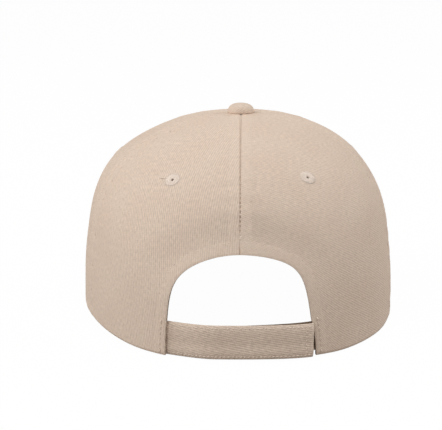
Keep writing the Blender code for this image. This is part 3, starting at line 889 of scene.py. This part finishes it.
for word, side in SIDES:
    make_back_panel(word, side)
    for place in SPANS[side]:
        make_whole_panel(place, word, side)


# Stitching of the crown


def crown_row(azimuth, offset, low, high, lift, **sizes):
    """Stitches up the crown, an offset beside a seam."""
    rise = np.linspace(low, high, 240)
    turn = azimuth + turn_of(offset, rise)
    if azimuth == 0.0:
        lift = lift - hem_valley(climb(rise) - climb(rise_at_height(ARCH_HEIGHT)), rise)
    return stitches(crown_point(turn, rise, lift), crown_normal(turn, rise), **sizes)


def seam_rows(azimuth, low):
    high = float(rise_at_radius(BUTTON_RADIUS + TOPSTITCH_OFFSET / 2))
    lift = BAND_RISE / 2 - ROW_DENT
    sides = (-TOPSTITCH_OFFSET, TOPSTITCH_OFFSET)
    return [crown_row(azimuth, offset, low, high, lift, sunk=0.9) for offset in sides]


def seam_threads(azimuth, low, sunk):
    """Threads that show in the bottom of a seam, with dark gaps between them."""
    high = float(rise_at_radius(BUTTON_RADIUS))
    sizes = {"length": SEAM_STITCH, "gap": SEAM_STITCH, "radius": SEAM_THREAD_RADIUS}
    return crown_row(azimuth, 0.0, low, high, 0.0, sunk=sunk, **sizes)


SEAMS = [0.0, math.pi]
for _, side in SIDES:
    SEAMS += [side * BACK_SEAM_AZIMUTH[side], side * FRONT_SEAM_AZIMUTH]
arch_top = float(rise_at_height(ARCH_HEIGHT + HEM_OFFSET))
rows = []
rungs = []
for azimuth in SEAMS:
    low = arch_top if azimuth == 0.0 else SEAM_ROW_START
    rows += seam_rows(azimuth, low)
    rungs.append(seam_threads(azimuth, low, 1.0 if azimuth in (0.0, math.pi) else 1.5))
tacks = []
for _, side in SIDES:
    along = np.linspace(*HEM_ROW_SPAN, 160)
    place = arch_place(along, HEM_OFFSET, side)
    path = crown_point(*place, BAND_RISE / 2 - ROW_DENT - hem_valley(HEM_OFFSET, place[1]))
    rows.append(stitches(path, crown_normal(*place), sunk=0.6))
    along = np.linspace(*ROOT_ROW_SPAN, 60)
    place = arch_place(along, ROOT_ROW_OFFSET, side)
    path, normal = crown_point(*place, BAND_RISE), crown_normal(*place)
    rows.append(stitches(path, normal, sunk=0.0))
    for ends in (slice(0, TACK_STEPS), slice(-TACK_STEPS, None)):
        tacks.append(stitches(path[ends], normal[ends], TACK_LENGTH, 0.0, 0.0, TACK_RADIUS))
dress(sew("crown_topstitching", rows, THREAD), "twill")
dress(sew("strap_root_tacks", tacks, THREAD, TACK_RADIUS), "twill")
dress(sew("crown_seam_threads", rungs, THREAD, SEAM_THREAD_RADIUS), "twill")


# Embroidered eyelets


def turned_ring(profile, place, across, up, out):
    """Closed profile of (radius, height) points, turned about a place's outward direction."""
    steps = 40
    profile = np.array(profile + profile[:1])
    turn = 2 * np.pi * np.arange(steps + 1) / steps
    reach = np.cos(turn)[:, None] * across + np.sin(turn)[:, None] * up
    return place + profile[None, :, :1] * reach[:, None] + profile[None, :, 1:] * out


def eyelet_threads(place, across, up, out):
    """Satin stitches laid from the hole over the ring's crest to its ragged outer edge."""
    wander = random.uniform(-EYELET_WANDER, EYELET_WANDER, EYELET_THREADS)
    turn = 2 * np.pi * (np.arange(EYELET_THREADS) + wander) / EYELET_THREADS
    outer = EYELET_RADIUS * random.uniform(*EYELET_RAGGED, EYELET_THREADS)
    share = np.linspace(0, 1, 7)
    inner = EYELET_HOLE_RADIUS * EYELET_THREAD_START
    reach = inner + (outer[:, None] - inner) * share**1.2
    height = EYELET_CREST * np.sin(np.pi * share**0.6) ** 0.8 - EYELET_CREST * (share == 0)
    turn = turn[:, None] + EYELET_SLANT * (share - 0.5)
    ray = np.cos(turn)[..., None] * across + np.sin(turn)[..., None] * up
    line = place + reach[..., None] * ray + (height[:, None] - ROW_SINK) * out
    return line, np.broadcast_to(out, line.shape)


def loose_end(place, across, up, out):
    """Thread end left beside an eyelet, lying on the cloth."""
    share = np.linspace(0, 1, 7)[:, None]
    along = unit(up * 0.5 - across)
    away = along * (EYELET_RADIUS * 0.8 + LOOSE_END_LENGTH * share)
    away = away + up * LOOSE_END_BOW * np.sin(2.5 * share)
    line = place + away + out * EYELET_THREAD_RADIUS / 2
    return line[None], np.broadcast_to(out, line.shape)[None]


def make_eyelet(name, place):
    axes = eyelet_frame(*place)
    profile = [
        (EYELET_HOLE_RADIUS, 0.0001),
        (EYELET_HOLE_RADIUS * 1.5, EYELET_CREST * 0.75),
        (EYELET_RADIUS * 0.7, EYELET_CREST * 0.6),
        (EYELET_RADIUS, 0.0),
        (EYELET_RADIUS * 0.96, -0.0005),
        (EYELET_RADIUS * 0.75, -0.0014),
        (EYELET_HOLE_RADIUS, -0.0013),
    ]
    points = turned_ring(profile, *axes)
    rows, columns = points.shape[:2]
    faces = grid_faces(rows, columns)[:, ::-1]
    weave = np.stack(np.meshgrid(np.linspace(0, 0.004, columns), np.linspace(0, 0.02, rows)), -1)
    shape = (points.reshape(-1, 3), faces.tolist(), CREAM, weave.reshape(-1, 2))
    ring = mesh_object(f"{name}_eyelet_ring", *shape)
    join_ends(ring)
    dress(ring, "eyelet_thread", f"{name}_eyelet")
    threads = [eyelet_threads(*axes)]
    if name == "back_left":
        threads.append(loose_end(*axes))
    dress(sew(f"{name}_eyelet_thread", threads, CREAM, EYELET_THREAD_RADIUS), "eyelet_thread")


for name, place in EYELETS.items():
    make_eyelet(name, place)


# Lining


def make_tape(name, azimuth, low):
    high = float(rise_at_radius(TAPE_END_RADIUS))
    across, up = np.meshgrid(np.linspace(-1, 1, 15), np.linspace(0, 1, 90))
    rise = low + (high - low) * up
    half = np.minimum(turn_of(TAPE_WIDTH / 2, rise), TAPE_TAPER_ANGLE)
    turn = azimuth + across * half
    puff = TAPE_PUFF * (1 - across**6)
    puff = puff - TAPE_DENT * hump(np.abs(across), TAPE_ROW / TAPE_WIDTH * 2, TAPE_DENT_SHARE)
    points = crown_point(turn, rise, -LINING_DEPTH - puff)
    weave = grain(across * TAPE_WIDTH / 2, climb(rise), BIAS_GRAIN)
    nodes = [f"{name}_seam_tape"]
    lay(f"{name}_tape", points, weave, TAPE, TAPE_THICKNESS, "lining_tape", nodes)
    depth = LINING_DEPTH + TAPE_THICKNESS + ROW_SINK
    taper_end = float(rise_at_radius(TAPE_WIDTH))
    made = []
    for offset in (-TAPE_ROW, TAPE_ROW):
        line, normal = crown_row(azimuth, offset, low + 0.01, taper_end, -depth, sunk=-0.5)
        made.append((line, -normal))
    return made


facing_low = float(rise_at_height(ARCH_HEIGHT + FACING_WIDTH + GAP))
tape_rows = make_tape("back_center", 0.0, facing_low)
tape_rows += make_tape("front_center", math.pi, 0.0)
for word, side in SIDES:
    tape_rows += make_tape(f"back_{word}", side * BACK_SEAM_AZIMUTH[side], 0.0)
    tape_rows += make_tape(f"front_{word}", side * FRONT_SEAM_AZIMUTH, 0.0)
dress(sew("tape_stitching", tape_rows, THREAD), "lining_tape")


def make_facing():
    """Strip that finishes the arch inside, from the left foot over the top to the right foot."""
    offsets = np.linspace(FACING_INSET, FACING_WIDTH, 9)
    along, offset = np.meshgrid(np.linspace(0, 1, 90), offsets)
    left, right = (np.stack(arch_place(along, offset, side)) for _, side in SIDES)
    azimuth, rise = np.concatenate((left[:, :, :0:-1], right), 2)
    points = crown_point(azimuth, rise, -LINING_DEPTH)
    weave = grain(lengths_along(points, 1), lengths_along(points, 0), BIAS_GRAIN)
    nodes = ["arch_facing"]
    lay("arch_facing_tape", points, weave, TAPE, FACING_THICKNESS, "lining_tape", nodes)


def make_buckram(word, side):
    bottom, top = rise_at_height(BUCKRAM_BOTTOM), rise_at_height(CROWN_HEIGHT - BUCKRAM_TOP)
    across, up = np.meshgrid(np.linspace(0, 1, 40), np.linspace(0, 1, 60))
    rise = bottom + (top - bottom) * up
    inset = turn_of(TAPE_WIDTH / 2 + GAP, rise)
    turn = FRONT_SEAM_AZIMUTH + inset + across * (math.pi - FRONT_SEAM_AZIMUTH - 2 * inset)
    if side < 0:
        turn = turn[:, ::-1]
    name = f"front_{word}"
    points = crown_point(side * turn, rise, -LINING_DEPTH)
    weave = grain(span(turn, rise), climb(rise), 0)
    hole = (eyelet_frame(*EYELETS[name])[0], EYELET_RADIUS)
    sizes = (BUCKRAM_THICKNESS, "buckram", [f"{name}_buckram"])
    lay(f"{name}_stiffener", points, weave, BUCKRAM, *sizes, hole=hole)


def make_sweatband():
    """Soft folded band inside the rim, from one strap root round the front to the other."""
    start = ARCH_AZIMUTH + (STRAP_ROOT_LENGTH + 2 * GAP) / CROWN_BACK_LENGTH
    top = float(rise_at_height(SWEATBAND_WIDTH))
    around, up = np.meshgrid(np.linspace(0, 1, 360), spread(26, 0.6))
    azimuth, rise = start + around * (2 * math.pi - 2 * start), top * up
    depth = LINING_DEPTH + BUCKRAM_THICKNESS + GAP
    puff = SWEATBAND_PUFF * (1 - (2 * up - 1) ** 4)
    for share in SWEATBAND_ROWS:
        puff = puff - SWEATBAND_DENT * hump(up, share, SWEATBAND_DENT_SHARE)
    points = crown_point(azimuth, rise, -depth - puff)
    weave = grain(azimuth * CROWN_HALF_WIDTH, climb(rise), SWEATBAND_GRAIN)
    sizes = (SWEATBAND_THICKNESS, "sweatband", ["sweatband"])
    lay("sweatband_cloth", points, weave, SHIRTING, *sizes)
    made = []
    for share in SWEATBAND_ROWS:
        turn = np.linspace(start, 2 * math.pi - start, 600)
        level = np.full_like(turn, top * share)
        path = crown_point(turn, level, -depth - SWEATBAND_THICKNESS + ROW_SINK)
        made.append(stitches(path, -crown_normal(turn, level), sunk=0.2))
    dress(sew("sweatband_stitching", made, THREAD), "sweatband")


make_facing()
for word, side in SIDES:
    make_buckram(word, side)
make_sweatband()


# Visor


def visor_surface(across, v):
    """Middle of the visor's thickness; v runs out from the rim to the edge."""
    azimuth = math.pi - across * (math.pi - VISOR_AZIMUTH)
    cosine, sine = np.cos(azimuth), np.sin(azimuth)
    outward = unit(
        np.stack((sine / CROWN_HALF_WIDTH, -cosine / CROWN_FRONT_LENGTH, 0 * sine), -1)
    )
    rim = np.stack((CROWN_HALF_WIDTH * sine, -CROWN_FRONT_LENGTH * cosine, 0 * sine), -1)
    root = rim - outward * VISOR_TUCK
    height = rim_height(azimuth) - GAP - COVER_THICKNESS - BOARD_THICKNESS / 2
    outline = np.maximum(1 - np.abs(across) ** VISOR_OUTLINE_POWER, 0) ** VISOR_TIP_POWER
    reach = (VISOR_END_DEPTH + (VISOR_DEPTH - VISOR_END_DEPTH) * outline) * v
    drop = reach * (VISOR_SLOPE + VISOR_DROOP * across**2)
    heading = VISOR_SPREAD * across
    ahead = np.stack((reach * np.sin(heading), reach * np.cos(heading), height - drop), -1)
    return root + ahead


def visor_frame(across, v):
    """Upward normal of the visor, and the direction square out of its edge line."""
    step = 1e-4
    right = visor_surface(np.minimum(across + step, 1), v)
    left = visor_surface(np.maximum(across - step, -1), v)
    ahead = visor_surface(across, np.ones_like(v)) - visor_surface(across, np.zeros_like(v))
    normal = unit(np.cross(right - left, ahead))
    return normal, unit(np.cross(normal, right - left))


def visor_reach(across):
    none = np.zeros_like(across)
    return np.linalg.norm(visor_surface(across, none + 1) - visor_surface(across, none), axis=-1)


def visor_cover_points(face, across, out, fold, tip, lift):
    """Points on the upper (face 1) or lower (face -1) cover.

    It is folded by one angle round the board's edge, and by another round its two ends.
    """
    height = BOARD_THICKNESS / 2 + GAP + COVER_THICKNESS
    normal, outward = visor_frame(across, out)
    sideways = np.cross(outward, normal)
    upright = normal * (face * np.cos(fold))[..., None] + outward * np.sin(fold)[..., None]
    offset = upright * np.cos(tip)[..., None] + sideways * np.sin(tip)[..., None]
    return visor_surface(across, out) + offset * np.expand_dims(height + lift, -1), offset


def make_visor_cover(name, face):
    rows, columns, turns = 64, 150, 9
    wrap = COVER_WRAP * np.linspace(0, 1, turns + 1)[1:]
    share = np.concatenate((np.linspace(0, 1, rows), np.ones(turns)))
    bend = np.concatenate((np.zeros(rows), wrap))
    sweep = np.sin(np.pi / 2 * np.linspace(-1, 1, columns))
    sweep = np.concatenate((-np.ones(turns), sweep, np.ones(turns))) * face
    turned = np.concatenate((-wrap[::-1], np.zeros(columns), wrap)) * face
    across, out = np.meshgrid(sweep, share)
    fold = np.broadcast_to(bend[:, None], out.shape)
    tip = np.broadcast_to(turned, out.shape)
    edge = (1 - out) * visor_reach(across)
    quilt = 0.0
    for row in VISOR_ROWS:
        sewn = visor_reach(across) > row + VISOR_ROW_MARGIN
        quilt = quilt - VISOR_ROW_DENT * hump(edge, row, ROW_DENT_WIDTH) * sewn
    points, _ = visor_cover_points(face, across, out, fold, tip, quilt)
    weave = grain(points[..., 0], points[..., 1], VISOR_GRAIN * face)
    looks = {"rests_on": [name, "visor_board"], "wear": hump(edge, 0, VISOR_WEAR_WIDTH)}
    lay(f"{name}_cloth", points, weave, TWILL, COVER_THICKNESS, "twill", [name], **looks)


def visor_rows(face):
    made = []
    for row in VISOR_ROWS:
        across = np.sin(np.pi / 2 * np.linspace(-0.99, 0.99, 500))
        reach = visor_reach(across)
        across = across[reach > row + VISOR_ROW_END]
        out = 1 - row / visor_reach(across)
        none = np.zeros_like(across)
        path, normal = visor_cover_points(face, across, out, none, none, none - ROW_SINK)
        made.append(stitches(path, normal, sunk=0.2))
    return made


make_visor_cover("visor_top_cover", 1)
make_visor_cover("visor_under_cover", -1)
dress(sew("visor_stitching", visor_rows(1) + visor_rows(-1), THREAD), "twill")


# Top button


def make_button():
    base = CROWN_HEIGHT + GAP
    turns = 2 * np.pi * np.arange(97) / 96
    share, turn = np.meshgrid(np.linspace(0.02, 1, 30), turns, indexing="ij")
    tilt = np.pi / 2 * share
    gather = 1 + BUTTON_GATHER * np.cos(BUTTON_GATHERS * turn) * share**6
    reach = BUTTON_RADIUS * np.sin(tilt) ** 0.8 * gather
    height = base + BUTTON_HEIGHT * np.maximum(np.cos(tilt), 0) ** 0.7
    points = np.stack((reach * np.cos(turn), reach * np.sin(turn), height), -1)
    tuck = points[-1] * (BUTTON_TUCK, BUTTON_TUCK, 1)
    points = np.concatenate((points, tuck[None]))[::-1]
    weave = grain(points[..., 0], points[..., 1] + points[..., 2], BUTTON_GRAIN)
    piece = cloth("button_cloth", points, weave, TWILL, BUTTON_COVER_THICKNESS, ring=True)
    dress(piece, "twill", "button_cover")


make_button()


# Strap closure


def back_arc(azimuth, height, lift):
    """Point on an upright wall that follows the back of the rim, drawn flatter over the arch."""
    x, y = CROWN_HALF_WIDTH * np.sin(azimuth), -CROWN_BACK_LENGTH * np.cos(azimuth)
    outward = unit(np.stack((x / CROWN_HALF_WIDTH**2, y / CROWN_BACK_LENGTH**2, 0 * x), -1))
    place = np.stack((x, y, height), -1)
    flat = STRAP_FLATTEN * np.maximum(1 - (azimuth / ARCH_AZIMUTH) ** 2, 0) ** STRAP_FLATTEN_POWER
    return place + outward * np.expand_dims(lift - flat, -1), outward


def arc_angle(length):
    return length / CROWN_BACK_LENGTH


def hook_depth(azimuth):
    """Depth of the outer strap, which climbs from under the left panel over the inner strap."""
    return ROOT_DEPTH - CLOSURE_STACK * smooth((azimuth + ARCH_AZIMUTH) / arc_angle(STRAP_RAMP))


def strap_relief(up):
    """Puffed double cloth, sewn down beside its edges and dented along its middle."""
    edge = np.minimum(up, 1 - up) * STRAP_WIDTH
    relief = STRAP_PUFF * smooth(edge / STRAP_PUFF_WIDTH)
    relief = relief - EDGE_ROLL * hump(edge, 0, EDGE_ROLL_WIDTH)
    relief = relief - STRAP_DENT * hump(edge, STRAP_ROW, STRAP_DENT_WIDTH)
    return relief - STRAP_HOLLOW * hump(up, STRAP_HOLLOW_SHARE, STRAP_HOLLOW_SPREAD)


STRAP_START = -ARCH_AZIMUTH - arc_angle(STRAP_ROOT_LENGTH)
STRAP_END = ARCH_AZIMUTH - arc_angle(STRAP_END_GAP)
LOOP_START = ARCH_AZIMUTH - arc_angle(LOOP_STRAP_LENGTH)
LOOP_END = ARCH_AZIMUTH + arc_angle(STRAP_ROOT_LENGTH)


def strap_tilt(azimuth):
    return STRAP_LIFT + STRAP_TILT * (STRAP_END - azimuth) / (STRAP_END - STRAP_START)


def strap_place(azimuth, up, low, depth, tilt):
    """Place on a strap, the way out of it, and its height; up runs over the strap's width."""
    height = low + up * (STRAP_WIDTH - low) + tilt(azimuth)
    return (*back_arc(azimuth, height, strap_relief(up) - depth(azimuth)), height)


def strap_sheet(name, start, end, strap, columns, *nodes):
    azimuth, up = np.meshgrid(np.linspace(start, end, columns), spread(24))
    points, _, height = strap_place(azimuth, up, *strap)
    ends = np.minimum(azimuth - start, end - azimuth) * CROWN_BACK_LENGTH
    edge = np.minimum(np.minimum(up, 1 - up) * STRAP_WIDTH, ends)
    weave = grain(azimuth * CROWN_BACK_LENGTH, height, STRAP_GRAIN)
    wear = hump(edge, STRAP_WEAR_OFFSET, EDGE_ROLL_WIDTH)
    sizes = (STRAP_THICKNESS, "twill", nodes, None)
    return lay(name, points, weave, STRAP_TWILL, *sizes, wear=wear)


def hinge_ends(azimuth, side):
    """Points a short reach either side of a strap's hinge."""
    place, outward = back_arc(np.array(azimuth), np.array(0.0), np.array(-ROOT_DEPTH))
    along = np.cross((0, 0, 1), outward) * side
    return place - along * HINGE_REACH, place + along * HINGE_REACH


def flat_depth(azimuth):
    return np.full_like(azimuth, ROOT_DEPTH)


def loop_tilt(azimuth):
    """Height that the inner strap gains, less what its free end has sunk."""
    share = (LOOP_END - azimuth) / (LOOP_END - LOOP_START)
    return STRAP_LIFT - LOOP_STRAP_DIP * np.clip(share, 0, 1)


HOOK = (0.0, hook_depth, strap_tilt)
LOOP = (LOOP_STRAP_LIFT, flat_depth, loop_tilt)
hinges = {}
for body, side, start, end, strap, columns in (
    ("hook_strap", 1, STRAP_START, STRAP_END, HOOK, 190),
    ("loop_strap", -1, LOOP_START, LOOP_END, LOOP, 120),
):
    piece = strap_sheet(f"{body}_cloth", start, end, strap, columns, body, f"{body}_root")
    hinges[body] = hinge_ends(side * (arc_angle(HINGE_SETBACK) - ARCH_AZIMUTH), side)
    start, end = hinges[body]
    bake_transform(piece)


def strap_row(azimuth, up, strap, sunk):
    path, outward, _ = strap_place(*np.broadcast_arrays(azimuth, up), *strap)
    return stitches(path, outward, sunk=sunk, **STRAP_STITCH)


def edge_rows(start, end, strap):
    azimuth, share = np.linspace(start, end, 200), STRAP_ROW / STRAP_WIDTH
    return [strap_row(azimuth, up, strap, -0.1) for up in (share, 1 - share)]


setback, row = arc_angle(STRAP_ROW_SETBACK), arc_angle(STRAP_ROW)
radius = STRAP_STITCH["radius"]
rows = edge_rows(-ARCH_AZIMUTH + setback, STRAP_END - row, HOOK)
end_row = STRAP_END - arc_angle(STRAP_END_ROW)
rows.append(strap_row(end_row, np.linspace(*STRAP_END_ROW_SPAN, 60), HOOK, -0.2))
dress(sew("hook_strap_stitching", rows, CREAM, radius), "twill", body="hook_strap")
rows = edge_rows(LOOP_START + row, ARCH_AZIMUTH - setback, LOOP)
dress(sew("loop_strap_stitching", rows, CREAM, radius), "twill", body="loop_strap")


def closure_tape(name, start, end, low, high, strap, behind, paint, body, bristle):
    """Tape that lies a step behind a strap's face, and the bristles that it carries."""
    _, depth, tilt = strap
    azimuth, height = np.meshgrid(np.linspace(start, end, 60), np.linspace(low, high, 16))
    height = height + tilt(azimuth)
    points, _ = back_arc(azimuth, height, -depth(azimuth) - behind)
    weave = grain(azimuth * CROWN_BACK_LENGTH, height, 0)
    sizes = (CLOSURE_TAPE_THICKNESS * 0.5, name, [name], None)
    piece = lay(f"{name}_base", points, weave, paint, *sizes)
    dress(bristle, name, body=body)
    return piece


def bristles(name, start, end, low, high, strap, behind, facing, curl, paint, pitch):
    """Field of small hooks or loops that stand off one face of a closure tape."""
    _, depth, tilt = strap
    columns = int((end - start) * CROWN_BACK_LENGTH / pitch)
    rows = int((high - low) / pitch)
    turn, height = np.meshgrid(np.linspace(start, end, columns), np.linspace(low, high, rows))
    turn = turn.ravel() + arc_angle(pitch) * random.uniform(*BRISTLE_WANDER, turn.size)
    height = height.ravel() + pitch * random.uniform(*BRISTLE_WANDER, height.size)
    turn, height = np.clip(turn, start, end), np.clip(height, low, high)
    share = np.linspace(0, 1, 6)
    lean = random.uniform(0, 2 * np.pi, turn.size)[:, None]
    bow = curl * (1 - np.cos(np.pi * share)) / 2
    stand = BRISTLE_STAND * np.sin(np.pi * share * 0.85)
    azimuth = turn[:, None] + arc_angle(bow * np.cos(lean))
    upright = height[:, None] + bow * np.sin(lean) + tilt(azimuth)
    line, normal = back_arc(azimuth, upright, facing * stand - depth(azimuth) - behind)
    return sew(name, [(line, normal)], paint, BRISTLE_RADIUS, 4)


tape_span = arc_angle(CLOSURE_TAPE_LENGTH)
tape_end = STRAP_END - arc_angle(CLOSURE_TAPE_MARGIN)
low, high = CLOSURE_TAPE_MARGIN, STRAP_WIDTH - CLOSURE_TAPE_MARGIN
field = (tape_end - tape_span, tape_end, low, high)
behind, half_tape = STRAP_THICKNESS + GAP, CLOSURE_TAPE_THICKNESS * 0.5
sizes = (behind + half_tape, -1, HOOK_CURL, NYLON, HOOK_PITCH)
hooks = bristles("hook_tape_hooks", *field, HOOK, *sizes)
tape = closure_tape("hook_tape", *field, HOOK, behind, NYLON, "hook_strap", hooks)
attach(tape, "hook_strap")
# The dark loop tape runs past the hinge and above the inner strap's top edge, as painted shade in
# the gap at the strap's end and along its top edge
tape_start = LOOP_START + arc_angle(CLOSURE_TAPE_MARGIN)
tape_end = ARCH_AZIMUTH - arc_angle(HINGE_SETBACK)
low, high = low + LOOP_STRAP_LIFT, STRAP_WIDTH + LOOP_TAPE_SHADE_OVERHANG
field = (tape_start, tape_end, low, high - 2 * LOOP_TAPE_SHADE_OVERHANG)
behind = -GAP - half_tape
loops = bristles("loop_tape_pile", *field, LOOP, behind, 1, PILE_CURL, SHADE_DARK_NAP, PILE_PITCH)
field = (tape_start, ARCH_AZIMUTH + arc_angle(LOOP_TAPE_SHADE_TUCK), low, high)
tape = closure_tape("loop_tape", *field, LOOP, behind, SHADE_DARK_NAP, "loop_strap", loops)
start, end = hinges["loop_strap"]
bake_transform(tape)

# Rigid pieces keep their solids
for name, paint, slot in (
    ("visor_board", BOARD, "visor_board"),
    ("button_shell", METAL, "button_metal"),
    ("button_post", METAL, "button_metal"),
):
    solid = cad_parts[name]
    solid.data.materials.clear()
    solid.data.materials.append(paint)


# Stage


def show_white(tree, lit, white, output):
    """White where the camera or a reflection sees it, and lit as written for all other light."""
    path = tree.nodes.new("ShaderNodeLightPath")
    seen = path.outputs["Is Camera Ray"]
    for ray in ("Is Glossy Ray", "Is Transmission Ray"):
        seen = add(tree, "Math", {0: seen, 1: path.outputs[ray]}, operation="MAXIMUM")
    shown = add(tree, "MixShader", {0: seen, 1: lit, 2: white})
    feed(tree, tree.nodes[output], {"Surface": shown})


def make_floor():
    corners = np.array([(-1, -1, 0), (1, -1, 0), (1, 1, 0), (-1, 1, 0)]) * FLOOR_REACH
    made, tree, shader = material("floor_paper")
    floor = mesh_object("floor", corners - (0, 0, FLOOR_DROP), [[0, 1, 2, 3]], made)
    feed(tree, shader, {"Base Color": FLOOR_COLOUR, "Roughness": 1.0})
    paper = add(tree, "BsdfDiffuse", {"Color": (0.9, 0.9, 0.9, 1)})
    glow = add(tree, "Emission", {"Strength": 1.0})
    white = add(tree, "MixShader", {0: FLOOR_GLOW, 1: paper, 2: glow})
    show_white(tree, shader.outputs[0], white, "Material Output")


def make_world():
    world = bpy.data.worlds.new("studio")
    world.use_nodes = True
    tree = world.node_tree
    sky = tree.nodes["Background"]
    feed(tree, sky, {"Color": SKY_COLOUR, "Strength": SKY_STRENGTH})
    white = add(tree, "Background", {"Color": (1, 1, 1, 1), "Strength": 1.0})
    show_white(tree, sky.outputs[0], white, "World Output")
    bpy.context.scene.world = world


def softbox(name, place, size, power):
    lamp = bpy.data.lights.new(name, "AREA")
    lamp.shape = "DISK"
    lamp.size = size
    lamp.energy = power
    made = put(name, lamp)
    made.location = place
    aim = np.array(LAMP_AIM) - place
    flat = math.hypot(aim[0], aim[1])
    made.rotation_euler = (math.atan2(flat, -aim[2]), 0, math.atan2(-aim[0], aim[1]))


def make_camera():
    lens = bpy.data.cameras.new("camera")
    lens.sensor_width = SENSOR_WIDTH
    lens.lens = FOCAL_PIXELS * SENSOR_WIDTH / FRAME_WIDTH
    made = put("camera", lens)
    made.location = CAMERA_PLACE
    made.rotation_euler = (math.pi / 2 - CAMERA_PITCH, 0, CAMERA_YAW)
    bpy.context.scene.camera = made


make_floor()
make_world()
softbox("key", (-1.1, -1.25, 1.4), 1.2, 18.6)
softbox("top", (0.3, -0.7, 2.0), 1.4, 9.8)
softbox("right", (1.7, 0.2, 1.0), 1.6, 15.2)
softbox("left", (-1.7, 0.1, 0.9), 1.2, 9.4)
make_camera()
bpy.context.scene.view_settings.view_transform = "Standard"
